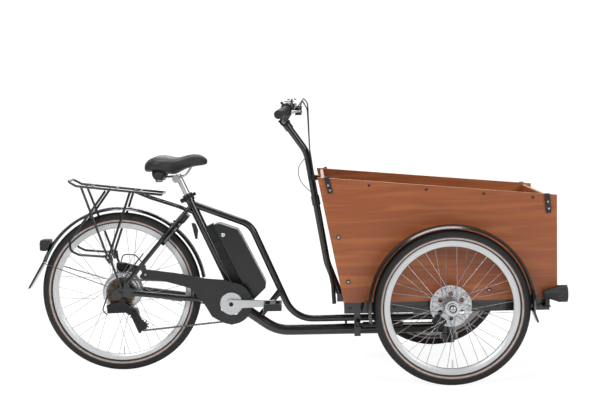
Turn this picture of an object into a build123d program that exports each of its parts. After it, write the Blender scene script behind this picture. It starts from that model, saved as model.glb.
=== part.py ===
from build123d import *
import os
from math import atan2, cos, floor, hypot, pi, radians, sin, sqrt, tan

# Electric cargo tricycle: two wheels and a wooden box in front, one driven wheel behind.
# X forward, Y to the rider's left, Z up; the ground is Z = 0 and millimetres are used throughout.

# ---------------------------------------------------------------- driving dimensions
wheelbase = 1314.0
rear_axle_x = -690.0
front_axle_x = rear_axle_x + wheelbase
running_gap = 0.05          # radial clearance of a shaft in its bearing
part_gap = 0.4              # clearance between pieces that pass each other

# wheels: bicycle sizes 47-559 (rear) and 47-507 (front)
rear_wheel_r = 327.0
front_wheel_r = 300.0
rear_bead_r = rear_wheel_r - 47.5
front_bead_r = front_wheel_r - 46.5
tyre_width = 47.0
tyre_wall = 3.6
rim_width = 24.0
rim_wall = 2.2
rim_flange = 6.0
rim_depth = 17.5
spoke_r = 1.0
spoke_count = 36
rotor_r = 80.0
rotor_thickness = 2.0
valve_r = 3.0
valve_length = 32.0

# rear hub with its motor, and the sprocket cluster beside it
motor_r = 74.0
motor_left_y = 33.0
motor_right_y = -31.0
rear_axle_r = 6.0
axle_spacing = 135.0
rear_rotor_y = 45.0
freewheel_boss_r = 17.0
sprocket_teeth = (28, 24, 22, 20, 18, 16, 14)
sprocket_pitch = 3.4
sprocket_thickness = 1.8

# front hubs on stub axles
front_hub_flange_r = 29.0
front_hub_barrel_r = 15.0
stub_axle_r = 10.0
front_rotor_inset = 36.0

# transmission
chain_pitch = 12.7
chain_line = 43.0
chainring_teeth = 38
jockey_teeth = 10
chain_height = 8.4
chain_plate = 1.0
chain_inner_width = 2.4
roller_r = 3.85
crank_x = rear_axle_x + 454.0
crank_z = 280.0
crank_length = 170.0
crank_plane = 92.0
crank_thickness = 14.0
spindle_r = 8.5
bracket_shell_r = 20.0
bracket_half_width = 36.5

# frame tubes
main_tube_r = 22.0
main_tube_z = 152.0
upper_tube_r = 14.0
upper_tube_z = 198.0
seat_tube_r = 17.5
chain_stay_r = 11.0
seat_stay_r = 8.5
tube_wall = 2.0
dropout_thickness = 6.0

# steering pivot
pivot_x = front_axle_x + 28.0
head_r = 30.0
head_top = 248.0
head_bottom = 112.0
pivot_shaft_r = 17.0
pivot_shaft_bore = 10.0

# cargo box
box_half_width = 290.0
wheel_gap = 90.0            # from the box's side to the middle of a front tyre
track = 2 * (box_half_width + wheel_gap)
panel_thickness = 12.0
box_bottom = front_wheel_r + 11.0
box_rear_bottom_x = rear_axle_x + 905.0
box_rear_top_x = rear_axle_x + 812.0
box_front_x = rear_axle_x + 1732.0
box_rear_top = 801.0
box_front_top = 715.0
front_panel_inset = 26.0
rear_panel_inset = 14.0
rail_height = 43.0
rail_width = 25.0
rail_wall = 2.5

# saddle and post
seat_post_r = 13.6
seat_tube_bottom = (rear_axle_x + 470.0, 0.0, 296.0)
seat_tube_top = (rear_axle_x + 281.0, 0.0, 718.0)

# controls
column_r = 14.3
bar_r = 11.1
grip_r = 17.0


# ---------------------------------------------------------------- shared shapes
def tube_along(points, radius, outer_r, bore_r=0.0):
    """A round tube on straight runs joined by tangent arcs, in a part of its own."""
    with BuildPart(mode=Mode.PRIVATE) as tube:
        with BuildLine() as run:
            if len(points) == 2:
                Line(*points)
            else:
                FilletPolyline(*points, radius=radius)
        with BuildSketch(Plane(origin=run.line @ 0, z_dir=run.line % 0)):
            Circle(outer_r)
            if bore_r:
                Circle(bore_r, mode=Mode.SUBTRACT)
        sweep()
    return tube.part


def rod_between(start, end, radius, mode=Mode.ADD):
    """A round rod from one point to another, added to the part being built."""
    along = Vector(*end) - Vector(*start)
    with Locations(Plane(origin=start, z_dir=along)):
        Cylinder(radius, along.length, align=(Align.CENTER, Align.CENTER, Align.MIN), mode=mode)


def across(x, y_from, y_to, z, radius, mode=Mode.ADD):
    """A round piece whose axis lies across the cycle, between two values of Y."""
    low, high = min(y_from, y_to), max(y_from, y_to)
    with Locations(Plane(origin=(x, low, z), z_dir=(0, 1, 0))):
        Cylinder(radius, high - low, align=(Align.CENTER, Align.CENTER, Align.MIN), mode=mode)


def block(x_range, y_range, z_range, mode=Mode.ADD):
    """A square-edged block between two values on each axis."""
    centre = [(low + high) / 2 for low, high in (x_range, y_range, z_range)]
    with Locations(tuple(centre)):
        Box(x_range[1] - x_range[0], y_range[1] - y_range[0], z_range[1] - z_range[0], mode=mode)


def side_face(y):
    """Plane standing fore and aft at a value of Y: its X is forward and it faces the drive side."""
    return Plane(origin=(0, y, 0), x_dir=(1, 0, 0), z_dir=(0, -1, 0))


def side_plate(outline, y_from, y_to, mode=Mode.ADD):
    """A flat plate standing fore and aft: its outline in X and Z, its thickness in Y."""
    low, high = min(y_from, y_to), max(y_from, y_to)
    with BuildSketch(side_face(high), mode=Mode.PRIVATE) as face:
        with BuildLine():
            Polyline(*outline, close=True)
        make_face()
    extrude(face.sketch, amount=high - low, mode=mode)


def point_on(start, end, share):
    """The point that lies a given share of the way from start to end."""
    return tuple(a + (b - a) * share for a, b in zip(start, end))


def pitch_radius(teeth):
    """Pitch circle of a bicycle sprocket."""
    return chain_pitch / (2 * sin(pi / teeth))


written = []


def write(builder, name):
    """Label a finished piece and write its STEP file."""
    builder.part.label = name
    export_step(builder.part, f"parts/{name}.step")
    written.append(name)


os.makedirs("parts", exist_ok=True)

# ---------------------------------------------------------------- wheels
rim_edge_y = rim_width / 2
bead_y = rim_edge_y - rim_wall


def wheel_plane(centre_x, centre_y, centre_z):
    """Plane through a wheel's axle: its X is the radius and its Y the axle."""
    return Plane(origin=(centre_x, centre_y, centre_z), x_dir=(1, 0, 0), z_dir=(0, 0, 1))


def build_tyre(name, centre, wheel_r, bead_r):
    """A tyre open towards the rim, with beads that sit between the rim's flanges."""
    section_r = tyre_width / 2
    bead_height = rim_flange + 3
    shoulder_height = 6.0
    shoulder_y = 14.0
    slot_height = 2 * rim_flange
    with BuildPart() as tyre:
        with BuildSketch(wheel_plane(*centre)):
            with Locations((wheel_r - section_r, 0)):
                Circle(section_r)
                Circle(section_r - tyre_wall, mode=Mode.SUBTRACT)
            flange_top = bead_r + rim_flange
            with Locations((flange_top + shoulder_height / 2, 0)):
                Rectangle(shoulder_height, 2 * shoulder_y)
            with Locations((bead_r + bead_height / 2, 0)):
                Rectangle(bead_height, 2 * bead_y)
            with Locations((flange_top, 0)):
                Rectangle(4 * shoulder_height, 2 * (bead_y - tyre_wall), mode=Mode.SUBTRACT)
            slot_y = bead_y + rim_wall / 2
            with Locations(*[(flange_top - slot_height / 2, edge * slot_y) for edge in (-1, 1)]):
                Rectangle(slot_height, rim_wall, mode=Mode.SUBTRACT)
        revolve(axis=Axis(centre, (0, 1, 0)))
    write(tyre, name)


def build_rim(name, centre, bead_r):
    """A channel rim, open towards the tyre, with a valve through it at the bottom."""
    top = bead_r + rim_flange
    floor_r = bead_r - rim_depth
    shoulder_r = bead_r - rim_depth * 0.55
    toe_y = rim_edge_y * 0.6
    with BuildPart() as rim:
        with BuildSketch(wheel_plane(*centre)):
            with BuildLine():
                Polyline(
                    (top, rim_edge_y), (shoulder_r, rim_edge_y), (floor_r, toe_y),
                    (floor_r, -toe_y), (shoulder_r, -rim_edge_y), (top, -rim_edge_y),
                    (top, -bead_y), (shoulder_r + rim_wall / 2, -bead_y),
                    (floor_r + rim_wall, rim_wall - toe_y), (floor_r + rim_wall, toe_y - rim_wall),
                    (shoulder_r + rim_wall / 2, bead_y), (top, bead_y),
                    close=True,
                )
            make_face()
        revolve(axis=Axis(centre, (0, 1, 0)))
        rod_between((centre[0], centre[1], centre[2] - bead_r),
                    (centre[0], centre[1], centre[2] - floor_r + 3), valve_r, mode=Mode.SUBTRACT)
    with BuildPart() as valve:
        rod_between((centre[0], centre[1], centre[2] - bead_r),
                    (centre[0], centre[1], centre[2] - floor_r + valve_length), valve_r)
    with BuildPart() as pair:
        add(rim.part)
        add(valve.part)
    write(pair, name)


def build_spokes(name, centre, bead_r, flange_r, flange_y_pair, cross_angle):
    """Crossed spokes: each leaves a hub flange nearly tangentially and ends in the rim."""
    rim_r = bead_r - rim_depth + 1.0
    half_count = spoke_count // 2
    with BuildPart() as spokes:
        for side, flange_y in enumerate(flange_y_pair):
            rim_y = 2.5 if flange_y > 0 else -2.5
            planes = []
            for index in range(half_count):
                turn = 1 if index % 2 else -1
                rim_angle = radians(360 / half_count * (index + 0.25 + side / 2) - 90)
                hub_angle = rim_angle + turn * radians(cross_angle)
                start = Vector(centre[0] + flange_r * cos(hub_angle),
                               centre[1] + flange_y + turn * spoke_r * 1.3,
                               centre[2] + flange_r * sin(hub_angle))
                end = Vector(centre[0] + rim_r * cos(rim_angle), centre[1] + rim_y + turn * spoke_r * 1.3,
                             centre[2] + rim_r * sin(rim_angle))
                planes.append(Plane(origin=start, z_dir=end - start))
                length = (end - start).length
            with Locations(*planes):
                Cylinder(spoke_r, length, align=(Align.CENTER, Align.CENTER, Align.MIN))
    write(spokes, name)


def ring_across(centre, y_from, y_to, outer_r, inner_r, mode=Mode.ADD):
    """A flat ring about a wheel's axle."""
    low, high = min(y_from, y_to), max(y_from, y_to)
    with BuildSketch(Plane(origin=(centre[0], low, centre[2]), z_dir=(0, 1, 0)), mode=Mode.PRIVATE) as face:
        Circle(outer_r)
        Circle(inner_r, mode=Mode.SUBTRACT)
    extrude(face.sketch, amount=high - low, mode=mode)


def rotor(centre, y_middle, boss_r):
    """A drilled brake disc with its carrier, in a part of its own."""
    vent_ring = PolarLocations(rotor_r - 9, 24)
    window_ring = PolarLocations((rotor_r + boss_r) / 2 - 5, 6)
    with BuildPart(mode=Mode.PRIVATE) as disc:
        base = Plane(origin=(centre[0], y_middle - rotor_thickness / 2, centre[2]), z_dir=(0, 1, 0))
        with BuildSketch(base):
            Circle(rotor_r)
            Circle(boss_r, mode=Mode.SUBTRACT)
            with vent_ring:
                Circle(2.6, mode=Mode.SUBTRACT)
            with window_ring:
                Circle(9.5, mode=Mode.SUBTRACT)
        extrude(amount=rotor_thickness)
    return disc.part


rear_centre = (rear_axle_x, 0.0, rear_wheel_r)
build_tyre("rear_tyre", rear_centre, rear_wheel_r, rear_bead_r)
build_rim("rear_rim", rear_centre, rear_bead_r)
flange_thickness = 3.0
build_spokes("rear_spokes", rear_centre, rear_bead_r, motor_r + 1.5,
             (motor_right_y + 8, motor_left_y - 8), 24.0)

rotor_boss_r = 24.0
freewheel_end_y = -(axle_spacing / 2 - 4.0)
with BuildPart() as rear_hub_shell:
    across(rear_axle_x, motor_right_y, motor_left_y, rear_wheel_r, motor_r)
    chamfer(rear_hub_shell.edges().filter_by(GeomType.CIRCLE).sort_by(Axis.Y)[0], 4)
    chamfer(rear_hub_shell.edges().filter_by(GeomType.CIRCLE).sort_by(Axis.Y)[-1], 4)
    for side_y in (motor_right_y + 8, motor_left_y - 8):
        ring_across(rear_centre, side_y - flange_thickness / 2, side_y + flange_thickness / 2,
                    motor_r + 4, motor_r - 1)
    across(rear_axle_x, motor_left_y - 1, rear_rotor_y - rotor_thickness / 2, rear_wheel_r, rotor_boss_r + 6)
    across(rear_axle_x, rear_rotor_y - rotor_thickness, rear_rotor_y + 6, rear_wheel_r, rotor_boss_r)
    across(rear_axle_x, freewheel_end_y, motor_right_y + 1, rear_wheel_r, freewheel_boss_r)
    across(rear_axle_x, freewheel_end_y - 1, rear_rotor_y + 7, rear_wheel_r, rear_axle_r + running_gap,
           mode=Mode.SUBTRACT)
with BuildPart() as rear_hub:
    add(rear_hub_shell.part)
    add(rotor(rear_centre, rear_rotor_y, rotor_boss_r))
write(rear_hub, "rear_hub")

for side_name, side in (("right", -1), ("left", 1)):
    wheel_y = side * track / 2
    centre = (front_axle_x, wheel_y, front_wheel_r)
    build_tyre(f"{side_name}_tyre", centre, front_wheel_r, front_bead_r)
    build_rim(f"{side_name}_rim", centre, front_bead_r)
    build_spokes(f"{side_name}_spokes", centre, front_bead_r, front_hub_flange_r - 2, (-22.0, 22.0), 58.0)
    with BuildPart() as hub_shell:
        across(front_axle_x, wheel_y - side * 24, wheel_y + side * 24, front_wheel_r, front_hub_barrel_r)
        for flange_y in (-22.0, 22.0):
            flange_middle = wheel_y + flange_y
            across(front_axle_x, flange_middle - flange_thickness / 2, flange_middle + flange_thickness / 2,
                   front_wheel_r, front_hub_flange_r)
        across(front_axle_x, wheel_y + side * 23, wheel_y + side * 34, front_wheel_r, 20)
        across(front_axle_x, wheel_y - side * 23, wheel_y - side * (front_rotor_inset - 1), front_wheel_r, 26)
        across(front_axle_x, wheel_y - side * (front_rotor_inset - 1.5), wheel_y - side * (front_rotor_inset + 4),
               front_wheel_r, rotor_boss_r)
        across(front_axle_x, wheel_y - 60, wheel_y + 60, front_wheel_r, stub_axle_r + running_gap,
               mode=Mode.SUBTRACT)
    with BuildPart() as front_hub:
        add(hub_shell.part)
        add(rotor(centre, wheel_y - side * front_rotor_inset, rotor_boss_r))
    write(front_hub, f"{side_name}_hub")

# ---------------------------------------------------------------- transmission
chain_y = -chain_line
crank_centre = (crank_x, crank_z)
rear_cog = (rear_axle_x, rear_wheel_r)
guide_pulley = (rear_axle_x + 50.0, 243.0)
tension_pulley = (rear_axle_x + 88.0, 190.0)


def tooth_profile(teeth, bore_r):
    """Toothed disc: a round blank with a roller's seat cut between each two teeth."""
    radius = pitch_radius(teeth)
    Circle(radius + 3.4)
    with PolarLocations(radius, teeth):
        Circle(roller_r + 0.35, mode=Mode.SUBTRACT)
    if bore_r:
        Circle(bore_r, mode=Mode.SUBTRACT)


def cross_plane(centre_x, centre_z, y):
    """Plane across the cycle at one value of Y, its normal along +Y."""
    return Plane(origin=(centre_x, y, centre_z), x_dir=(1, 0, 0), z_dir=(0, 1, 0))


with BuildPart() as freewheel:
    for index, teeth in enumerate(sprocket_teeth):
        cog_y = chain_y - index * sprocket_pitch - sprocket_thickness / 2
        with BuildSketch(cross_plane(rear_axle_x, rear_wheel_r, cog_y)):
            tooth_profile(teeth, freewheel_boss_r + running_gap)
        extrude(amount=sprocket_thickness)
    last_cog_y = chain_y - (len(sprocket_teeth) - 1) * sprocket_pitch - sprocket_thickness / 2
    with BuildSketch(cross_plane(rear_axle_x, rear_wheel_r, last_cog_y)):
        Circle(pitch_radius(sprocket_teeth[-1]) - 5)
        Circle(freewheel_boss_r + running_gap, mode=Mode.SUBTRACT)
    extrude(amount=chain_y + 6 - last_cog_y)
write(freewheel, "freewheel")

spider_face_y = chain_y - 1.2
with BuildPart() as chainring:
    with BuildSketch(cross_plane(crank_x, crank_z, spider_face_y)):
        tooth_profile(chainring_teeth, 0)
        Circle(42, mode=Mode.SUBTRACT)
        with PolarLocations(60, 5):
            SlotOverall(26, 12, mode=Mode.SUBTRACT)
    extrude(amount=2.4)
write(chainring, "chainring")


def tangent_points(first, first_r, second, second_r):
    """Where a straight chain run leaves one wheel and meets the next; a minus radius wraps the other way."""
    across_x, across_z = second[0] - first[0], second[1] - first[1]
    span = hypot(across_x, across_z)
    direction = atan2(across_z, across_x)
    offset = atan2(sqrt(span ** 2 - (first_r - second_r) ** 2), first_r - second_r)
    angle = direction + offset
    return ((first[0] + first_r * cos(angle), first[1] + first_r * sin(angle)),
            (second[0] + second_r * cos(angle), second[1] + second_r * sin(angle)))


chain_wheels = [
    (rear_cog, pitch_radius(sprocket_teeth[0])),
    (crank_centre, pitch_radius(chainring_teeth)),
    (tension_pulley, pitch_radius(jockey_teeth)),
    (guide_pulley, -pitch_radius(jockey_teeth)),
]
chain_runs = []
for index, (wheel_centre, wheel_radius) in enumerate(chain_wheels):
    next_centre, next_radius = chain_wheels[(index + 1) % len(chain_wheels)]
    chain_runs.append(tangent_points(wheel_centre, wheel_radius, next_centre, next_radius))


def arc_middle(centre, radius, start, end):
    """Middle of the chain's wrap round one wheel, always on the side that the chain covers."""
    first = atan2(start[1] - centre[1], start[0] - centre[0])
    last = atan2(end[1] - centre[1], end[0] - centre[0])
    turn = (first - last) % (2 * pi) if radius > 0 else -((last - first) % (2 * pi))
    middle = first - turn / 2
    return (centre[0] + abs(radius) * cos(middle), centre[1] + abs(radius) * sin(middle))


def chain_loop(y_low):
    """The closed line that the chain follows, flat, on a plane across the cycle."""
    plane = Plane(origin=(0, y_low, 0), x_dir=(1, 0, 0), z_dir=(0, -1, 0))
    with BuildSketch(plane, mode=Mode.PRIVATE) as loop:
        with BuildLine():
            for index, (run_start, run_end) in enumerate(chain_runs):
                Line(run_start, run_end)
                wheel_centre, wheel_radius = chain_wheels[(index + 1) % len(chain_wheels)]
                next_start = chain_runs[(index + 1) % len(chain_runs)][0]
                ThreePointArc(run_end, arc_middle(wheel_centre, wheel_radius, run_end, next_start), next_start)
        make_face()
    return loop


with BuildPart() as chain:
    for plate_y in (chain_y + chain_inner_width / 2 + chain_plate, chain_y - chain_inner_width / 2):
        loop = chain_loop(plate_y)
        with BuildSketch(Plane(origin=(0, plate_y, 0), x_dir=(1, 0, 0), z_dir=(0, -1, 0))):
            add(offset(loop.sketch_local, chain_height / 2, mode=Mode.PRIVATE))
            add(offset(loop.sketch_local, -chain_height / 2, mode=Mode.PRIVATE), mode=Mode.SUBTRACT)
        extrude(amount=chain_plate)
    roller_places = []
    for run_start, run_end in (chain_runs[0], chain_runs[1]):
        run_length = hypot(run_end[0] - run_start[0], run_end[1] - run_start[1])
        for index in range(3, floor(run_length / chain_pitch) - 3):
            share = (index + 0.5) * chain_pitch / run_length
            roller_places.append((run_start[0] + (run_end[0] - run_start[0]) * share,
                                  run_start[1] + (run_end[1] - run_start[1]) * share))
    roller_plane_y = chain_y - chain_inner_width / 2 - chain_plate / 2
    with Locations(*[cross_plane(x, z, roller_plane_y) for x, z in roller_places]):
        Cylinder(roller_r, chain_inner_width + chain_plate, align=(Align.CENTER, Align.CENTER, Align.MIN))
write(chain, "chain")

for name, (pulley_x, pulley_z) in (("guide_pulley", guide_pulley), ("tension_pulley", tension_pulley)):
    with BuildPart() as pulley:
        with BuildSketch(cross_plane(pulley_x, pulley_z, chain_y - 1.0)):
            tooth_profile(jockey_teeth, 0)
        extrude(amount=2.0)
        across(pulley_x, chain_y - 3.2, chain_y + 3.2, pulley_z, 9)
        across(pulley_x, chain_y - 4, chain_y + 4, pulley_z, 3.0 + running_gap, mode=Mode.SUBTRACT)
    write(pulley, name)

# derailleur: the cage swings about the lower knuckle, which sits on the guide pulley's axis side
knuckle = (rear_axle_x + 34.0, 258.0)
cage_y = (chain_y - 4.0, chain_y + 4.0)
cage_plate = 2.0
with BuildPart() as cage:
    outline_points = [(knuckle[0] - 8, knuckle[1] + 3), (guide_pulley[0] + 6, guide_pulley[1] + 12),
                      (tension_pulley[0] + 9, tension_pulley[1] + 3), (tension_pulley[0] - 13, tension_pulley[1] - 32),
                      (tension_pulley[0] - 20, tension_pulley[1] - 28), (guide_pulley[0] - 12, guide_pulley[1] - 10)]
    side_plate(outline_points, cage_y[0] - cage_plate, cage_y[0])
    side_plate(outline_points, cage_y[1], cage_y[1] + cage_plate)
    for pulley_x, pulley_z in (guide_pulley, tension_pulley):
        across(pulley_x, cage_y[0], cage_y[1], pulley_z, 3.0)
    across(tension_pulley[0] - 16, cage_y[0], cage_y[1], tension_pulley[1] - 28, 2.5)
    across(knuckle[0], cage_y[0] - 18, cage_y[0] - 1, knuckle[1], 4.0)
write(cage, "derailleur_cage")

dropout_face = axle_spacing / 2 + dropout_thickness


def fore(distance):
    """X of a point measured forward from the rear axle."""
    return rear_axle_x + distance


def profile(*points):
    """Outline points measured forward from the rear axle and up from the ground."""
    return [(fore(x), z) for x, z in points]


def path(*points):
    """Points in space whose X is measured forward from the rear axle."""
    return [(fore(x), y, z) for x, y, z in points]


with BuildPart() as derailleur:
    knuckle_y = cage_y[0] - cage_plate - part_gap
    body_y = (-dropout_face + 7.5, -dropout_face - 12.0)
    across(knuckle[0], knuckle_y, body_y[1], knuckle[1], 12)
    across(fore(12), -dropout_face, -dropout_face - 14, 300, 12)
    side_plate(profile((2, 296), (24, 292), (43, 267), (24, 252), (-50, 250), (-54, 282), (-30, 292)), *body_y)
    across(knuckle[0], knuckle_y + 5, cage_y[0] - 20, knuckle[1], 4.0 + running_gap, mode=Mode.SUBTRACT)
write(derailleur, "derailleur")

arm_inner = crank_plane - crank_thickness / 2
arm_outer = crank_plane + crank_thickness / 2
pedal_inner = arm_outer + 3
pedal_length = 92.0
cover_r = 45.5
with BuildPart() as cranks:
    across(crank_x, -arm_outer, arm_outer, crank_z, spindle_r)
    for side in (-1, 1):
        reach = -side * crank_length
        across(crank_x, side * arm_inner, side * arm_outer, crank_z, 19)
        across(crank_x + reach, side * arm_inner, side * arm_outer, crank_z, 14)
        side_plate([(crank_x, crank_z + 17), (crank_x + reach, crank_z + 12),
                    (crank_x + reach, crank_z - 12), (crank_x, crank_z - 17)], side * arm_inner, side * arm_outer)
        across(crank_x + reach, side * arm_inner, side * (pedal_inner + pedal_length - 4), crank_z, 5)
    across(crank_x, spider_face_y - 30, spider_face_y - 39, crank_z, cover_r)
    across(crank_x, spider_face_y - 6, -arm_inner, crank_z, 24)
    with BuildSketch(cross_plane(crank_x, crank_z, spider_face_y - 6)):
        Circle(24)
        with PolarLocations(27, 5, start_angle=36):
            Rectangle(50, 15)
    extrude(amount=6)
write(cranks, "crank_arms")

for name, side in (("right", -1), ("left", 1)):
    pedal_x = crank_x - side * crank_length
    inner, outer = side * pedal_inner, side * (pedal_inner + pedal_length)
    with BuildPart() as pedal:
        block((pedal_x - 35, pedal_x + 35), sorted((inner + side * 4, outer)), (crank_z - 14, crank_z + 14))
        for shift in (-20, 20):
            block((pedal_x + shift - 9, pedal_x + shift + 9), sorted((inner + side * 10, outer - side * 6)),
                  (crank_z - 20, crank_z + 20), mode=Mode.SUBTRACT)
        across(pedal_x, inner, outer - side * 2, crank_z, 9)
        across(pedal_x, inner - side, outer - side * 3, crank_z, 5 + running_gap, mode=Mode.SUBTRACT)
    write(pedal, f"pedal_{name}")

# ---------------------------------------------------------------- frame
seat_axis = (Vector(*seat_tube_top) - Vector(*seat_tube_bottom)).normalized()


def along_seat_tube(distance, off=0.0, y=0.0):
    """A point beside the seat tube: distance up from its foot, offset forward of its axis."""
    return (seat_tube_bottom[0] + seat_axis.X * distance + seat_axis.Z * off, y,
            seat_tube_bottom[2] + seat_axis.Z * distance - seat_axis.X * off)


main_tube_line = [(crank_x, 0, crank_z), (fore(633), 0, main_tube_z), (pivot_x, 0, main_tube_z)]
main_tube_bend = 165.0
seat_tube_foot = along_seat_tube(-10)
with BuildPart() as main_tube:
    add(tube_along(main_tube_line, main_tube_bend, main_tube_r, main_tube_r - tube_wall))
    across(crank_x, -60, 60, crank_z, bracket_shell_r, mode=Mode.SUBTRACT)
    rod_between(seat_tube_foot, seat_tube_top, seat_tube_r, mode=Mode.SUBTRACT)
    rod_between((pivot_x, 0, 60), (pivot_x, 0, head_top), head_r, mode=Mode.SUBTRACT)
write(main_tube, "main_tube")

with BuildPart() as upper_tube:
    rod_between((fore(560), 0, 205), (fore(652), 0, 318), 12.5)
    rod_between((fore(919), 0, main_tube_z), (fore(919), 0, upper_tube_z), 5)
    add(tube_along([(fore(296), 0, 684), (fore(536), 0, 592), (fore(706), 0, upper_tube_z),
                    (pivot_x, 0, upper_tube_z)], [90, 120], upper_tube_r))
    add(tube_along(main_tube_line, main_tube_bend, main_tube_r), mode=Mode.SUBTRACT)
    rod_between(seat_tube_bottom, seat_tube_top, seat_tube_r, mode=Mode.SUBTRACT)
    rod_between((pivot_x, 0, 60), (pivot_x, 0, head_top), head_r, mode=Mode.SUBTRACT)
write(upper_tube, "upper_tube")

seat_tube_length = hypot(seat_tube_top[0] - seat_tube_bottom[0], seat_tube_top[2] - seat_tube_bottom[2])
clamp_distance = seat_tube_length - 8
clamp_bolt = along_seat_tube(clamp_distance - 2, -27)
with BuildPart() as bracket_shell:
    across(crank_x, -bracket_half_width, bracket_half_width, crank_z, bracket_shell_r)
    for side in (-1, 1):
        across(crank_x, side * (bracket_half_width - 1), side * (bracket_half_width + 1.5), crank_z,
               bracket_shell_r + 2)
    across(crank_x, -60, 60, crank_z, spindle_r + running_gap, mode=Mode.SUBTRACT)
with BuildPart() as seat_bar:
    rod_between(seat_tube_foot, seat_tube_top, seat_tube_r)
    across(crank_x, -60, 60, crank_z, bracket_shell_r, mode=Mode.SUBTRACT)
    rod_between(along_seat_tube(clamp_distance - 16), along_seat_tube(clamp_distance + 14), 21.5)
    with BuildSketch(Plane(origin=along_seat_tube(clamp_distance - 11), z_dir=seat_axis, x_dir=(0, 1, 0))):
        with Locations((0, 25)):
            Rectangle(30, 18)
    extrude(amount=18)
    rod_between(along_seat_tube(25), along_seat_tube(seat_tube_length + 30), seat_post_r + running_gap,
                mode=Mode.SUBTRACT)
    across(clamp_bolt[0], -19.5, 22, clamp_bolt[2], 3)
    across(clamp_bolt[0], 14, 20, clamp_bolt[2], 7)
with BuildPart() as seat_tube:
    add(seat_bar.part)
    add(bracket_shell.part)
write(seat_tube, "seat_tube")

lever_pivot = (clamp_bolt[0], -27.0, clamp_bolt[2])
lever_tilt = radians(29)
lever_way = (cos(lever_tilt), 0.0, sin(lever_tilt))
with BuildPart() as clamp_lever:
    with Locations(Plane(origin=lever_pivot, z_dir=(-sin(lever_tilt), 0, cos(lever_tilt)))):
        Cylinder(7, 15)
    with Locations(Plane(origin=lever_pivot, x_dir=lever_way, z_dir=(0, -1, 0))):
        with Locations((32, 0, 1)):
            Box(64, 13, 5)
write(clamp_lever, "seat_clamp_lever")

dropout_outline = profile((-31, 318), (-22, 310), (44, 313), (62, 318), (62, 340), (42, 352), (38, 378),
                          (20, 378), (16, 353), (-22, 353), (-31, 345))
with BuildPart() as stay_bars:
    for side in (-1, 1):
        stay_line = path((50, side * 66, 328), (290, side * 40, 297), (452, side * 16.4, 281))
        add(tube_along(stay_line, 150, chain_stay_r))
    across(crank_x, -60, 60, crank_z, bracket_shell_r, mode=Mode.SUBTRACT)
    rod_between(seat_tube_bottom, seat_tube_top, seat_tube_r, mode=Mode.SUBTRACT)
    add(main_tube.part, mode=Mode.SUBTRACT)
    for side in (-1, 1):
        side_plate(dropout_outline, side * axle_spacing / 2, side * dropout_face)
        across(fore(-12), side * dropout_face, side * (dropout_face + 4), 346, 4)
        across(rear_axle_x, side * dropout_face, side * (dropout_face + 9), rear_wheel_r, 11)
        across(rear_axle_x, side * 55, side * (dropout_face + 13), rear_wheel_r, rear_axle_r)
    across(rear_axle_x, -axle_spacing / 2, axle_spacing / 2, rear_wheel_r, rear_axle_r)
    across(rear_axle_x, 51.5, axle_spacing / 2, rear_wheel_r, 10)
    across(rear_axle_x, -axle_spacing / 2, freewheel_end_y - 0.4, rear_wheel_r, 10)
write(stay_bars, "chain_stays")

guard_outer_y = -80.0
guard_wall = 2.5
guard_depth = 8.0
guard_outline = profile((81, 394), (96, 418), (115, 426), (228, 410), (349, 385), (430, 377), (502, 347),
                        (534, 301), (536, 262), (510, 215), (453, 192), (400, 212), (373, 228), (346, 276), (287, 347),
                        (166, 382), (98, 386))
guard_bolt_x, guard_bolt_z = fore(108), 406
with BuildPart() as seat_stays:
    for side in (-1, 1):
        stay_line = path((27, side * 67, 369), (215, side * 47, 590), (295, side * 14, 676))
        add(tube_along(stay_line, 120, seat_stay_r))
    rod_between(*path((237, -42, 615), (237, 42, 615)), 6)
    side_plate(profile((78, 440), (96, 462), (118, 412), (112, 397), (102, 397)), -71, -67)
    rod_between(seat_tube_bottom, seat_tube_top, seat_tube_r, mode=Mode.SUBTRACT)
    for side in (-1, 1):
        side_plate(dropout_outline, side * axle_spacing / 2, side * dropout_face, mode=Mode.SUBTRACT)
    add(upper_tube.part, mode=Mode.SUBTRACT)
write(seat_stays, "seat_stays")

with BuildPart() as chain_guard:
    with BuildSketch(side_face(guard_outer_y + guard_wall)) as guard_face:
        with BuildLine():
            Polyline(*guard_outline, close=True)
        make_face()
        fillet(guard_face.vertices(), 7)
        with Locations(crank_centre):
            Circle(85)
            Circle(49, mode=Mode.SUBTRACT)
    extrude(amount=guard_wall)
    with BuildSketch(side_face(guard_outer_y + guard_depth)) as guard_lip:
        with BuildLine():
            Polyline(*guard_outline, close=True)
        make_face()
        fillet(guard_lip.vertices(), 7)
        with Locations(crank_centre):
            Circle(85)
        offset(amount=-guard_wall, mode=Mode.SUBTRACT)
    extrude(amount=guard_depth - guard_wall)
    across(guard_bolt_x, -71, guard_outer_y - 3, guard_bolt_z, 5)
write(chain_guard, "chain_guard")

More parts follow.
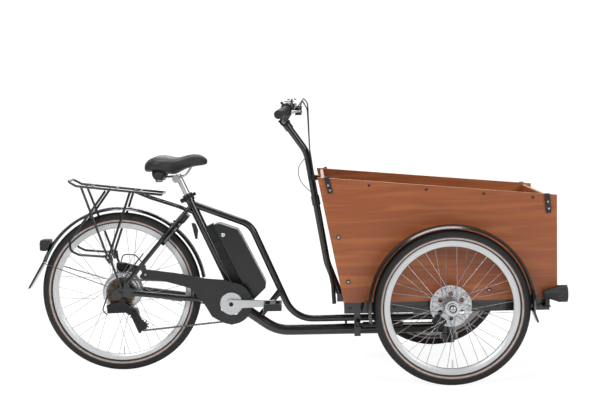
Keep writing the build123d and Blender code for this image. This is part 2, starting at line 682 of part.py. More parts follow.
gusset_top = 245.0
gusset_half_width = 12.0
damper_x, damper_y, damper_z = fore(968), -60.0, 180.0
damper_pin_r = 4.0
damper_rod_r = 5.0
with BuildPart() as damper_clamp:
    block((fore(952), fore(978)), (-27, 27), (main_tube_z - main_tube_r - 5, upper_tube_z + upper_tube_r + 5))
    for tube_z, tube_r in ((main_tube_z, main_tube_r), (upper_tube_z, upper_tube_r)):
        rod_between((fore(940), 0, tube_z), (fore(990), 0, tube_z), tube_r, mode=Mode.SUBTRACT)
    block((damper_x - 9, damper_x + 9), (damper_y - 9, -26), (damper_z - 16, damper_z - 9))
    rod_between((damper_x, damper_y, damper_z - 10), (damper_x, damper_y, damper_z + 9), damper_pin_r)
    rod_between((damper_x, damper_y, damper_z + 8), (damper_x, damper_y, damper_z + 12), damper_pin_r + 3)
with BuildPart() as head_gusset:
    block((fore(1196), pivot_x), (-gusset_half_width, gusset_half_width), (upper_tube_z + 3, gusset_top))
    chamfer(head_gusset.edges().filter_by(Axis.Y).sort_by(Axis.X)[:2].sort_by(Axis.Z)[-1], 22)
    rod_between((fore(1100), 0, upper_tube_z), (pivot_x, 0, upper_tube_z), upper_tube_r, mode=Mode.SUBTRACT)
with BuildPart() as steering_head:
    rod_between((pivot_x, 0, head_bottom - 8), (pivot_x, 0, head_top), head_r)
    rod_between((pivot_x, 0, head_bottom - 8), (pivot_x, 0, main_tube_z - main_tube_r - 3), head_r + 6)
    rod_between((pivot_x, 0, head_top - 8), (pivot_x, 0, head_top + 8), head_r + 3)
    add(head_gusset.part)
    rod_between((pivot_x, 0, 60), (pivot_x, 0, 300), pivot_shaft_r + running_gap, mode=Mode.SUBTRACT)
    add(damper_clamp.part)
write(steering_head, "steering_head")

battery_half_width = 38.0
with BuildPart() as dock:
    dock_corners = [along_seat_tube(up, off) for up, off in ((315, 10), (315, 45), (-18, 45), (-18, 10))]
    side_plate([(corner[0], corner[2]) for corner in dock_corners], -17, 17)
    side_plate(profile((500, 304), (515, 289.5), (543, 281), (539, 262), (492, 276)), -30, 30)
    across(crank_x, -60, 60, crank_z, bracket_shell_r, mode=Mode.SUBTRACT)
    rod_between(seat_tube_foot, seat_tube_top, seat_tube_r, mode=Mode.SUBTRACT)
    add(tube_along(main_tube_line, main_tube_bend, main_tube_r), mode=Mode.SUBTRACT)
write(dock, "battery_dock")

with BuildPart() as battery:
    with BuildSketch(side_face(battery_half_width)) as cell_case:
        with BuildLine():
            Polyline(*profile((385, 599), (408, 604), (483, 577), (500, 549), (594, 356), (592, 334),
                              (544, 287.5), (521, 296.5)), close=True)
        make_face()
        fillet(cell_case.vertices(), 7)
    extrude(amount=2 * battery_half_width)
    fillet(battery.edges().filter_by(GeomType.LINE).filter_by(Axis.Y, reverse=True), 5)
write(battery, "battery")

# ring lock in a plane that holds the rear axle's direction
lock_angle = radians(48)
lock_out = Vector(cos(lock_angle), 0, sin(lock_angle))
lock_normal = Vector(-sin(lock_angle), 0, cos(lock_angle))
lock_centre = Vector(rear_axle_x, 0, rear_wheel_r) + lock_out * 316
lock_ring_r = 61.0
lock_gap = 38.0


def lock_plane(turn):
    """Section plane of the lock: its X points outward at a turn from the lock's open side."""
    way = lock_out * -cos(radians(turn)) - Vector(0, sin(radians(turn)), 0)
    return Plane(origin=lock_centre, x_dir=way, z_dir=way.cross(lock_normal))


lock_turn = Axis(lock_centre, lock_normal)
with BuildPart() as ring_lock:
    with BuildSketch(lock_plane(lock_gap)):
        with Locations((lock_ring_r, 0)):
            Rectangle(18, 14)
            Circle(4.8, mode=Mode.SUBTRACT)
    revolve(axis=lock_turn, revolution_arc=360 - 2 * lock_gap)
    with Locations(Plane(origin=lock_centre + lock_out * 85, x_dir=(0, 1, 0), z_dir=lock_normal)):
        Box(60, 36, 20)
    for side in (-1, 1):
        grip_start = lock_centre + lock_out * 38 + Vector(0, side * 47, 0)
        rod_between(tuple(grip_start + lock_normal * 5), tuple(grip_start + lock_normal * 30), 5)
    with BuildSketch(lock_plane(48)):
        with Locations((lock_ring_r + 5, 0)):
            Rectangle(10, 7)
    revolve(axis=lock_turn, revolution_arc=94, mode=Mode.SUBTRACT)
    add(seat_stays.part, mode=Mode.SUBTRACT)
with BuildPart() as lock_key:
    side_plate(profile((295, 607), (312, 603), (322, 576), (318, 540), (309, 540), (301, 576)), -22, -19.6)
    across(fore(303), -14, -26, 599, 7)
with BuildPart() as lock_set:
    add(ring_lock.part)
    add(lock_key.part)
write(lock_set, "ring_lock")

with BuildPart() as lock_bolt:
    with BuildSketch(lock_plane(lock_gap + 2)):
        with Locations((lock_ring_r, 0)):
            Circle(4.25)
    revolve(axis=lock_turn, revolution_arc=98)
    knob_plane = lock_plane(136)
    rod_between(tuple(lock_centre + knob_plane.x_dir * (lock_ring_r + 1)),
                tuple(lock_centre + knob_plane.x_dir * (lock_ring_r + 16)), 3)
    rod_between(tuple(lock_centre + knob_plane.x_dir * (lock_ring_r + 11)),
                tuple(lock_centre + knob_plane.x_dir * (lock_ring_r + 21)), 6)
write(lock_bolt, "lock_bolt")

# rear fender, tail light, rack
rear_fender_r = rear_wheel_r + 23.0
front_fender_r = front_wheel_r + 20.0
fender_half_width = 30.0
fender_wall = 2.5
fender_crown = 12.0


def fender_blade(centre, radius, start, sweep, half_width):
    """A crowned blade concentric with its wheel, in a part of its own."""
    start_angle = radians(start)
    section = Plane(origin=centre, x_dir=(cos(start_angle), 0, sin(start_angle)),
                    z_dir=(-sin(start_angle), 0, cos(start_angle)))
    with BuildPart(mode=Mode.PRIVATE) as blade:
        with BuildSketch(section):
            with BuildLine():
                edge_r = radius - fender_crown
                inner_half = half_width - fender_wall
                outer = ThreePointArc((edge_r, -half_width), (radius, 0), (edge_r, half_width))
                inner = ThreePointArc((edge_r, -inner_half), (radius - fender_wall, 0), (edge_r, inner_half))
                Line(outer @ 0, inner @ 0)
                Line(outer @ 1, inner @ 1)
            make_face()
        revolve(axis=Axis(centre, (0, -1, 0)), revolution_arc=sweep)
    return blade.part


with BuildPart() as rear_fender:
    add(fender_blade(rear_centre, rear_fender_r, 9, 149, fender_half_width))
    side_plate(profile((-312, 458), (-322, 455), (-384, 350), (-376, 349), (-314, 448)), -27, 27)
    for side in (-1, 1):
        rod_between(*path((-311, side * 29.5, 452), (-12, side * (dropout_face + 6), 346)), 1.75)
write(rear_fender, "rear_fender")

light_x = fore(64 - rear_fender_r)
light_low_z = rear_wheel_r + 176.0
with BuildPart() as tail_light:
    block((light_x - 37, light_x), (-24, 24), (light_low_z, light_low_z + 45))
    across(rear_axle_x, -40, 40, rear_wheel_r, rear_fender_r + 0.2, mode=Mode.SUBTRACT)
    fillet(tail_light.edges().filter_by(Axis.Y), 3)
with BuildPart() as tail_set:
    add(tail_light.part)
    block((light_x - 42, light_x - 37), (-22, 22), (light_low_z + 2, light_low_z + 43))
write(tail_set, "tail_light")

rack_rod = 5.0
with BuildPart() as rear_rack:
    add(tube_along(path((184, -60, 727), (-164, -60, 770), (-196, -60, 789), (-196, 60, 789), (-164, 60, 770),
                        (184, 60, 727)), 20, rack_rod))
    for x, z in ((180, 727.5), (89, 739), (-10, 751), (-110, 763)):
        rod_between(*path((x, -60, z), (x, 60, z)), 4)
    for side in (-1, 1):
        rod_between(*path((-144, side * 61, 766), (-43, side * 72, 476)), rack_rod)
        rod_between(*path((54, side * 61, 742), (-41, side * 72, 476)), rack_rod)
        side_plate(profile((-62, 488), (-26, 488), (-22, 458), (-40, 452)), side * 70, side * 75)
        rod_between(*path((-33, side * 73, 468), (8, side * (dropout_face + 5.5), 352)), rack_rod)
        across(fore(9), side * dropout_face, side * (dropout_face + 12), 346, 4)
        add(tube_along(path((-45, side * 66, 748), (-109, side * 68, 661), (-196, side * 70, 550),
                            (-194, side * 71, 508), (-160, side * 72, 491), (-50, side * 72, 481)), 22, rack_rod))
        add(tube_along(path((60, side * 25, 742), (129, side * 25, 712), (243, side * 25, 673),
                            (300, side * 21, 648)), 60, rack_rod))
    rod_between(seat_tube_bottom, seat_tube_top, seat_tube_r + 1, mode=Mode.SUBTRACT)
    add(seat_stays.part, mode=Mode.SUBTRACT)
write(rear_rack, "rear_rack")

with BuildPart() as rear_caliper:
    block((fore(-28), fore(12)), (36, 62), (396, 440))
    fillet(rear_caliper.edges(), 5)
    side_plate(profile((4, 400), (50, 380), (76, 418), (12, 436)), 58, 64)
    block((fore(-40), fore(40)), (rear_rotor_y - 2.2, rear_rotor_y + 2.2), (340, 412), mode=Mode.SUBTRACT)
    add(seat_stays.part, mode=Mode.SUBTRACT)
write(rear_caliper, "rear_caliper")

with BuildPart() as rear_cables:
    gear_cable_line = path((100, -64, 490), (20, -82, 390), (-49, -86, 322), (-71, -86, 263), (-54, -80, 246))
    brake_cable_line = path((-10, 49, 440), (0, 50, 474), (50, 54, 470), (92, 60, 418))
    motor_cable_line = path((-2, 84, 327), (40, 78, 306), (155, 56, 289), (330, 46, 262), (420, 20, 252))
    add(tube_along(gear_cable_line, 20, 2.5))
    add(tube_along(brake_cable_line, 18, 2.5))
    add(tube_along(motor_cable_line, 30, 3))
    rod_between(*path((158, 55.5, 288.4), (240, 51, 276)), 7)
    for side in (-1, 1):
        side_plate(dropout_outline, side * axle_spacing / 2, side * dropout_face, mode=Mode.SUBTRACT)
    across(rear_axle_x, -dropout_face - 13, dropout_face + 13, rear_wheel_r, 11, mode=Mode.SUBTRACT)
    for solid in (stay_bars, seat_stays, main_tube, rear_rack, rear_fender, rear_caliper, derailleur):
        add(solid.part, mode=Mode.SUBTRACT)
write(rear_cables, "rear_cables")

# ---------------------------------------------------------------- saddle and post
post_length = 350.0
post_rise = 555.5
post_foot = along_seat_tube(post_rise - post_length)
seat_head = along_seat_tube(post_rise)
with BuildPart() as rails:
    for side in (-1, 1):
        rail_line = path((170, side * 48, 787), (206, side * 23, 796), (268, side * 22, 797),
                         (288, side * 20, 823))
        add(tube_along(rail_line, 9, 3.5))
        rod_between(path((170, side * 50, 782))[0], path((170, side * 50, 818))[0], 25)
write(rails, "saddle_rails")

with BuildPart() as seat_post:
    rod_between(post_foot, seat_head, seat_post_r)
    across(fore(238), -28, 28, 788, 16)
    rod_between(post_foot, along_seat_tube(500), seat_post_r - 2.4, mode=Mode.SUBTRACT)
    add(rails.part, mode=Mode.SUBTRACT)
write(seat_post, "seat_post")

saddle_stations = ((113, 60, 824, 866), (150, 96, 819, 885), (200, 101, 817, 887.5), (250, 76, 815, 879),
                   (300, 40, 824, 887), (350, 25, 832, 886), (369, 12, 842, 876))
with BuildPart() as saddle:
    for x, half_width, low, high in saddle_stations:
        with BuildSketch(Plane(origin=(fore(x), 0, (low + high) / 2), x_dir=(0, 1, 0), z_dir=(1, 0, 0))):
            Ellipse(half_width, (high - low) / 2)
    loft()
    add(rails.part, mode=Mode.SUBTRACT)
write(saddle, "saddle")

# ---------------------------------------------------------------- front module: turns about the pivot
rail_outer = box_half_width
rail_inner = box_half_width - rail_width
rail_low = box_bottom - rail_height
plate_low = head_top + 12.0
column_foot_z = box_bottom - 11.0
pivot_nut_low = head_bottom - 22.0
damper_end = (pivot_x - 27.0, -54.0, damper_z)
wheel_face = track / 2 + 34.4
with BuildPart() as box_frame:
    for side in (-1, 1):
        rail_sides = sorted((side * rail_inner, side * rail_outer))
        bore_sides = sorted((side * (rail_inner + rail_wall), side * (rail_outer - rail_wall)))
        block((box_rear_bottom_x + 1, fore(1702)), rail_sides, (rail_low, box_bottom))
        block((box_rear_bottom_x, fore(1703)), bore_sides, (rail_low + rail_wall, box_bottom - rail_wall),
              mode=Mode.SUBTRACT)
        across(front_axle_x, side * rail_outer, side * (rail_outer + 44), front_wheel_r, 16)
        across(front_axle_x, side * (rail_inner + 1), side * (wheel_face + 6), front_wheel_r, stub_axle_r)
        across(front_axle_x, side * wheel_face, side * (wheel_face + 8), front_wheel_r, 15)
    for low_x, high_x in ((907, 947), (pivot_x - rear_axle_x - 30, pivot_x - rear_axle_x + 30), (1650, 1690)):
        block((fore(low_x), fore(high_x)), (-rail_inner - 1, rail_inner + 1), (rail_low, box_bottom))
        block((fore(low_x + 3), fore(high_x - 3)), (-rail_inner - 2, rail_inner + 2),
              (rail_low + 3, box_bottom - 3), mode=Mode.SUBTRACT)
    block((fore(884), fore(912)), (-14, 14), (rail_low, column_foot_z))
    block((pivot_x - 55, pivot_x + 55), (-80, 80), (plate_low, rail_low + 1))
    rod_between((pivot_x, 0, head_top + 8.4), (pivot_x, 0, plate_low + 1), head_r - 2)
    rod_between((pivot_x, 0, pivot_nut_low), (pivot_x, 0, plate_low), pivot_shaft_r)
    rod_between((pivot_x, 0, pivot_nut_low), (pivot_x, 0, head_bottom - 8.4), pivot_shaft_r + 7)
    rod_between((pivot_x, 0, pivot_nut_low - 1), (pivot_x, 0, plate_low + 1), pivot_shaft_bore,
                mode=Mode.SUBTRACT)
    rod_between((damper_end[0], damper_end[1], damper_z + 11), (damper_end[0], damper_end[1], plate_low + 1), 8)
write(box_frame, "box_frame")

panel_inner = box_half_width - panel_thickness
box_outline = [(box_rear_top_x, box_rear_top), (box_front_x, box_front_top), (box_front_x, box_bottom),
               (box_rear_bottom_x, box_bottom)]
slant = (box_rear_bottom_x - box_rear_top_x) / (box_rear_top - box_bottom)
top_slope = (box_front_top - box_rear_top) / (box_front_x - box_rear_top_x)


def box_top_z(x):
    """Height of the side panel's sloping top edge."""
    return box_rear_top + top_slope * (x - box_rear_top_x)


def box_rear_x(z):
    """X of the side panel's slanting rear edge."""
    return box_rear_bottom_x - slant * (z - box_bottom)


with BuildPart() as panels:
    for side in (-1, 1):
        side_plate(box_outline, side * panel_inner, side * box_half_width)
    floor_top = box_bottom + panel_thickness
    front_face_x = box_front_x - front_panel_inset
    between_sides = (-panel_inner - 0.5, panel_inner + 0.5)
    block((box_rear_x(box_bottom) + rear_panel_inset + 4, front_face_x - 1), between_sides,
          (box_bottom, floor_top))
    block((front_face_x - panel_thickness, front_face_x), between_sides, (box_bottom, box_front_top - 4))
    rear_low = (box_rear_x(box_bottom) + rear_panel_inset, box_bottom)
    rear_high = (box_rear_x(box_rear_top - 5) + rear_panel_inset, box_rear_top - 5)
    side_plate([rear_low, rear_high, (rear_high[0] + panel_thickness, rear_high[1]),
                (rear_low[0] + panel_thickness, rear_low[1])], *between_sides)
write(panels, "box_panels")

strap_thickness = 8.0
with BuildPart() as fittings:
    for side in (-1, 1):
        face = side * box_half_width
        strap_face = face + side * strap_thickness
        side_plate(profile((836, 799), (855, 806), (870, 742), (852, 738)), face, strap_face)
        side_plate(profile((1684, 722), (1703, 722), (1709, 648), (1691, 646)), face, strap_face)
        for x, z in ((853, 770), (859, 751), (1696, 690), (1699, 664)):
            across(fore(x), strap_face, strap_face + side * 2.5, z, 5)
        for x, z in ((889, 567), (924, 393), (1469, 350)):
            across(fore(x), face, face + side * 4, z, 8)
            across(fore(x), face + side * 3, face + side * 6, z, 5)
        for x in (1010, 1230, 1450, 1640):
            across(fore(x), face, face + side * 3, box_top_z(fore(x)) - 16, 5)
        for x in (930, 1100, 1500, 1660):
            across(fore(x), rail_outer * side, side * (rail_outer + 3), rail_low + rail_height / 2, 5)
write(fittings, "box_fittings")

bar_points = path((669, -330, 1047), (728, -110, 1082), (683, -45, 1012), (683, 45, 1012), (728, 110, 1082),
                  (669, 330, 1047))
column_points = path((700, 0, 988), (772, 0, 885), (846, 0, 430), (895, 0, column_foot_z))
with BuildPart() as column:
    add(tube_along(column_points, [130, 160], column_r))
    rod_between(*path((801, 0, 706), (807.5, 0, 668)), column_r + 3)
    across(fore(788), -19, 19, 783, 9)
    side_plate(profile((788, 792), (823, 790), (823, 772), (792, 770)), -16, 16)
    block((fore(870), fore(906)), (-40, 40), (column_foot_z - 50, column_foot_z), mode=Mode.SUBTRACT)
    block((fore(906), fore(950)), (-40, 40), (column_foot_z - 50, box_bottom), mode=Mode.SUBTRACT)
    add(panels.part, mode=Mode.SUBTRACT)
write(column, "steering_column")


def bar_point(share, side, lift=0.0, ahead=0.0):
    """A point beside one outer run of the bar, from its bend (0) to its end (1)."""
    inner, outer = Vector(*path((728, side * 110, 1082))[0]), Vector(*path((669, side * 330, 1047))[0])
    return inner + (outer - inner) * share + Vector(ahead, 0, lift)


bracket_share = 0.36
shifter_share = 0.47


def lever_pin(side):
    """Centre of a brake lever's pin, ahead of the bar and below it."""
    return bar_point(bracket_share, side, -14, 36)


def lever_end(side):
    """The point that a brake lever's blade reaches towards."""
    return bar_point(0.93, side, -14, 51)


with BuildPart() as handlebar:
    add(tube_along(bar_points, 45, bar_r))
    across(fore(683), -21, 21, 1012, 19)
    rod_between(*path((683, 0, 1012), (706, 0, 979)), 17.5)
    for x, z in ((664, 1012), (702, 1012)):
        for y in (-13, 13):
            across(fore(x), y - 4, y + 4, z, 5)
    for side in (-1, 1):
        near, far = bar_point(bracket_share - 0.035, side), bar_point(bracket_share + 0.035, side)
        rod_between(tuple(near), tuple(far), bar_r + 5)
        perch = bar_point(bracket_share, side, -9, 8)
        tip = lever_pin(side)
        rod_between(tuple(perch), tuple(tip), 8)
        with Locations(Plane(origin=tip, z_dir=(0, 0, 1))):
            Cylinder(13, 30)
            Cylinder(16, 9.6, mode=Mode.SUBTRACT)
            Cylinder(3, 30)
    add(tube_along(column_points, [130, 160], column_r), mode=Mode.SUBTRACT)
write(handlebar, "handlebar")

for name, side in (("right", -1), ("left", 1)):
    with BuildPart() as brake_lever:
        tip = lever_pin(side)
        end = lever_end(side)
        reach = Vector(end.X - tip.X, end.Y - tip.Y, 0).normalized()
        with Locations(Plane(origin=tip, z_dir=(0, 0, 1))):
            Cylinder(12, 9)
        with Locations(Plane(origin=tip + reach * 68, x_dir=reach, z_dir=(0, 0, 1))):
            Box(128, 11, 8)
        with Locations(Plane(origin=tip + reach * 132)):
            Sphere(7)
        with Locations(Plane(origin=tip, z_dir=(0, 0, 1))):
            Cylinder(3 + running_gap, 30, mode=Mode.SUBTRACT)
    write(brake_lever, f"brake_lever_{name}")

with BuildPart() as grips:
    for side in (-1, 1):
        start, end = bar_point(0.545, side), bar_point(1.02, side)
        rod_between(tuple(start), tuple(end), grip_r)
        rod_between(tuple(start), tuple(start + (end - start).normalized() * 4), grip_r + 2.5)
        rod_between(tuple(start), tuple(bar_point(1.0, side)), bar_r, mode=Mode.SUBTRACT)
write(grips, "grips")

with BuildPart() as shifter:
    start, end = bar_point(shifter_share - 0.055, -1), bar_point(shifter_share + 0.055, -1)
    rod_between(tuple(start), tuple(end), 24)
    middle = bar_point(shifter_share, -1)
    rod_between(tuple(middle), tuple(middle + Vector(-24, 0, 27)), 5)
    rod_between(tuple(bar_point(0.3, -1)), tuple(bar_point(0.6, -1)), bar_r + running_gap, mode=Mode.SUBTRACT)
write(shifter, "gear_shifter")

bell_seat = bar_point(0.18, -1)
with BuildPart() as bell:
    bell_way = (bell_seat - bar_point(0, -1)).normalized()
    rod_between(tuple(bell_seat - bell_way * 6), tuple(bell_seat + bell_way * 6), bar_r + 3.5)
    rod_between(tuple(bell_seat), tuple(bell_seat + Vector(0, 0, 26)), 4)
    with Locations(tuple(bell_seat + Vector(0, 0, 24))):
        Cylinder(19, 7, align=(Align.CENTER, Align.CENTER, Align.MIN))
    fillet(bell.edges().filter_by(GeomType.CIRCLE).sort_by(Axis.Z)[-1], 5)
    add(tube_along(bar_points, 45, bar_r), mode=Mode.SUBTRACT)
write(bell, "bell")

with BuildPart() as bell_lever:
    with Locations(Plane(origin=bell_seat + Vector(0, 0, 18.5))):
        Cylinder(9, 4)
        with Locations((-18, 0)):
            Box(26, 6, 3)
        Cylinder(4 + running_gap, 6, mode=Mode.SUBTRACT)
write(bell_lever, "bell_lever")

with BuildPart() as front_fenders:
    for side in (-1, 1):
        centre = (front_axle_x, side * track / 2, front_wheel_r)
        add(fender_blade(centre, front_fender_r, -5, 194, fender_half_width + 1))
        side_plate(profile((1000, 258), (1010, 246), (1006, 240), (996, 250)), side * (track / 2 - 12),
                   side * (track / 2 + 12))
        side_plate(profile((1624, 291), (1641, 243), (1635, 240), (1617, 283)), side * (track / 2 - 28),
                   side * (track / 2 + 28))
        for x, z in ((985, 283), (1632, 305)):
            arm_sides = sorted((side * rail_outer, side * (track / 2 - 24)))
            block((fore(x - 14), fore(x + 14)), arm_sides, (z - 1.5, z + 1.5))
        side_plate(profile((971, 281), (999, 281), (1010, 330), (985, 330)), side * (track / 2 - 27),
                   side * (track / 2 - 24))
        side_plate(profile((1618, 303), (1646, 303), (1642, 340), (1616, 340)), side * (track / 2 - 27),
                   side * (track / 2 - 24))
write(front_fenders, "front_fenders")

headlight_y = -(rail_outer + 35.0)
with BuildPart() as headlight:
    with Locations(Plane(origin=(fore(1762), headlight_y, 337), z_dir=(-1, 0, 0))):
        Cylinder(33, 34, align=(Align.CENTER, Align.CENTER, Align.MIN))
    with Locations(Plane(origin=(fore(1730), headlight_y, 337), z_dir=(-1, 0, 0))):
        Cone(32, 14, 56, align=(Align.CENTER, Align.CENTER, Align.MIN))
    block((fore(1672), fore(1700)), (headlight_y - 6, -rail_outer), (286, 290))
    block((fore(1680), fore(1696)), (headlight_y - 4, headlight_y + 4), (289, 326))
write(headlight, "headlight")

with BuildPart() as front_calipers:
    caliper_angle = radians(232)
    for side in (-1, 1):
        disc_y = side * (track / 2 - front_rotor_inset)
        middle = (front_axle_x + 74 * cos(caliper_angle), disc_y, front_wheel_r + 74 * sin(caliper_angle))
        with BuildPart(mode=Mode.PRIVATE) as body:
            outward = (cos(caliper_angle), 0, sin(caliper_angle))
            with Locations(Plane(origin=middle, x_dir=outward, z_dir=(0, 1, 0))):
                Box(40, 46, 28)
            fillet(body.edges(), 5)
            with Locations(Plane(origin=(front_axle_x, disc_y, front_wheel_r), z_dir=(0, 1, 0))):
                Cylinder(rotor_r + 3, 4.6, mode=Mode.SUBTRACT)
        add(body.part)
        bracket_y = side * (rail_outer + 4)
        rod_between((middle[0], disc_y - side * 12, middle[2] + 4), (middle[0] + 14, bracket_y, 286), 7)
        side_plate([(middle[0] - 6, 274), (middle[0] + 28, 274), (middle[0] + 28, 305), (middle[0] - 6, 305)],
                   side * rail_outer, side * (rail_outer + 5))
    block((fore(1150), fore(1400)), (-rail_outer, rail_outer), (200, 330), mode=Mode.SUBTRACT)
write(front_calipers, "front_calipers")

cable_r = 2.5
conduit_y = -25.5
with BuildPart() as front_cables:
    for side, lane in ((-1, conduit_y + 5.6), (1, conduit_y)):
        hold = lever_pin(side)
        inward = (hold - lever_end(side)).normalized()
        add(tube_along([tuple(hold + inward * 13.6)] + path((758, side * 100, 1096), (778, lane, 1060),
                                                           (784, lane, 900), (842, lane, 476)), 25, cable_r))
    gear_lane = conduit_y - 5.6
    add(tube_along(path((742, -195, 1074), (764, -120, 1104), (780, gear_lane, 1084), (784, gear_lane, 896),
                        (842, gear_lane, 476)), 25, cable_r))
    add(tube_along(path((842, conduit_y, 475), (868, conduit_y, 340), (872, conduit_y, 262)), 60, 8.5))
write(front_cables, "front_cables")

# the loose cable beside the column: straight runs with tangent arcs
loop_points = path((761, 0, 857), (739, 0, 829), (735, 0, 797), (745, 0, 765), (767, 0, 738), (786, 0, 722))
loop_radii = []
for before, corner, after in zip(loop_points, loop_points[1:], loop_points[2:]):
    run_in, run_out = Vector(*corner) - Vector(*before), Vector(*after) - Vector(*corner)
    half_turn = radians(run_in.get_angle(run_out)) / 2
    loop_radii.append(0.45 * min(run_in.length, run_out.length) / tan(half_turn))
print("cable loop bend radii in mm:", [round(value, 1) for value in loop_radii])
with BuildPart() as cable_loop:
    add(tube_along(loop_points, loop_radii, 1.5))
    add(column.part, mode=Mode.SUBTRACT)
write(cable_loop, "cable_loop")

# steering damper: the cylinder's eye is on the frame, the rod follows the turning arm
damper_start = (damper_x, damper_y, damper_z)
with BuildPart() as damper_cylinder:
    rod_between(point_on(damper_start, damper_end, 0.05), point_on(damper_start, damper_end, 0.52), 11)
    rod_between((damper_x, damper_y, damper_z - 7), (damper_x, damper_y, damper_z + 7), 9)
    rod_between(damper_start, point_on(damper_start, damper_end, 0.08), 6)
    rod_between(point_on(damper_start, damper_end, 0.15), point_on(damper_start, damper_end, 0.6),
                damper_rod_r + running_gap, mode=Mode.SUBTRACT)
    rod_between((damper_x, damper_y, damper_z - 10), (damper_x, damper_y, damper_z + 10),
                damper_pin_r + running_gap, mode=Mode.SUBTRACT)
write(damper_cylinder, "damper_cylinder")

with BuildPart() as damper_rod:
    rod_between(point_on(damper_start, damper_end, 0.29), point_on(damper_start, damper_end, 0.98),
                damper_rod_r)
    rod_between((damper_end[0], damper_end[1], damper_z - 8), (damper_end[0], damper_end[1], damper_z + 8), 9)
write(damper_rod, "damper_rod")
print(len(written), "pieces written")
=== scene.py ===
import bpy
from math import atan2, cos, hypot, pi, radians, sin, sqrt
from mathutils import Matrix, Vector


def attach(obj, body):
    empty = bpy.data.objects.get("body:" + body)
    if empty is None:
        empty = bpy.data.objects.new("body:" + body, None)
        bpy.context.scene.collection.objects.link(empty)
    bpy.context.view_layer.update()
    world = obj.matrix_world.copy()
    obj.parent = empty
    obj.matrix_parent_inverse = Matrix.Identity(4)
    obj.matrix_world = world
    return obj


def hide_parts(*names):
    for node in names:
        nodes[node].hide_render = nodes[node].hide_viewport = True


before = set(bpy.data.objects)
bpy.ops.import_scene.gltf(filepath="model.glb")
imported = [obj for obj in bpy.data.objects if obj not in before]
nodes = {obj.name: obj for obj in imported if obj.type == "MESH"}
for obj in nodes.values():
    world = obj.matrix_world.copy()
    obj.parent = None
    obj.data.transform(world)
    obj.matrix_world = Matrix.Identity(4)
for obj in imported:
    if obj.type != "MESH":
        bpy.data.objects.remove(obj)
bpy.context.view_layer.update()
MM = 0.001
X, Y, Z = Vector((1, 0, 0)), Vector((0, 1, 0)), Vector((0, 0, 1))

# places that several pieces share, in metres, with +X ahead and +Y to the rider's left
REAR_AXLE = Vector((-0.690, 0, 0.327))
RIGHT_AXLE = Vector((0.624, -0.380, 0.300))
LEFT_AXLE = Vector((0.624, 0.380, 0.300))
CRANK_X, CRANK_Z = -0.236, 0.280
CRANK_LENGTH = 0.170


# ------------------------------------------------------------ camera
CAMERA_PLACE = (0.102, -5.025, 1.144)
CAMERA_YAW, CAMERA_PITCH, CAMERA_ROLL = -0.59, -5.17, -1.24     # degrees
CAMERA_LENS, CAMERA_SENSOR = 73.98, 36                          # millimetres


def look():
    """Camera that stands off the drive side, a little above the box, and looks slightly down."""
    cam = bpy.data.objects.new("camera", bpy.data.cameras.new("camera"))
    yaw, pitch, roll = radians(CAMERA_YAW), radians(CAMERA_PITCH), radians(CAMERA_ROLL)
    ahead = Vector((sin(yaw) * cos(pitch), cos(yaw) * cos(pitch), sin(pitch)))
    right = Vector((cos(yaw), -sin(yaw), 0))
    up = right.cross(ahead)
    side = right * cos(roll) + up * sin(roll)
    top = up * cos(roll) - right * sin(roll)
    turn = Matrix((side, top, -ahead)).transposed().to_4x4()
    cam.matrix_world = Matrix.Translation(CAMERA_PLACE) @ turn
    cam.data.lens = CAMERA_LENS
    cam.data.sensor_width = CAMERA_SENSOR
    cam.data.clip_end = 100
    bpy.context.scene.collection.objects.link(cam)
    bpy.context.scene.camera = cam


look()
scene = bpy.context.scene
scene.render.resolution_x = 1500
scene.render.resolution_y = 1000
scene.view_settings.view_transform = "Standard"
scene.view_settings.look = "None"


# ------------------------------------------------------------ materials
def colour(code):
    """Linear colour from an sRGB hex code."""
    parts = [int(code[i:i + 2], 16) / 255 for i in (0, 2, 4)]
    return [p / 12.92 if p <= 0.04045 else ((p + 0.055) / 1.055) ** 2.4 for p in parts] + [1.0]


def node(tree, kind, inputs=None, **fields):
    """Add one shader node, set its fields and its inputs, and return it."""
    made = tree.nodes.new(kind)
    for key, value in fields.items():
        setattr(made, key, value)
    for key, value in (inputs or {}).items():
        if isinstance(value, bpy.types.NodeSocket):
            tree.links.new(value, made.inputs[key])
        else:
            made.inputs[key].default_value = value
    return made


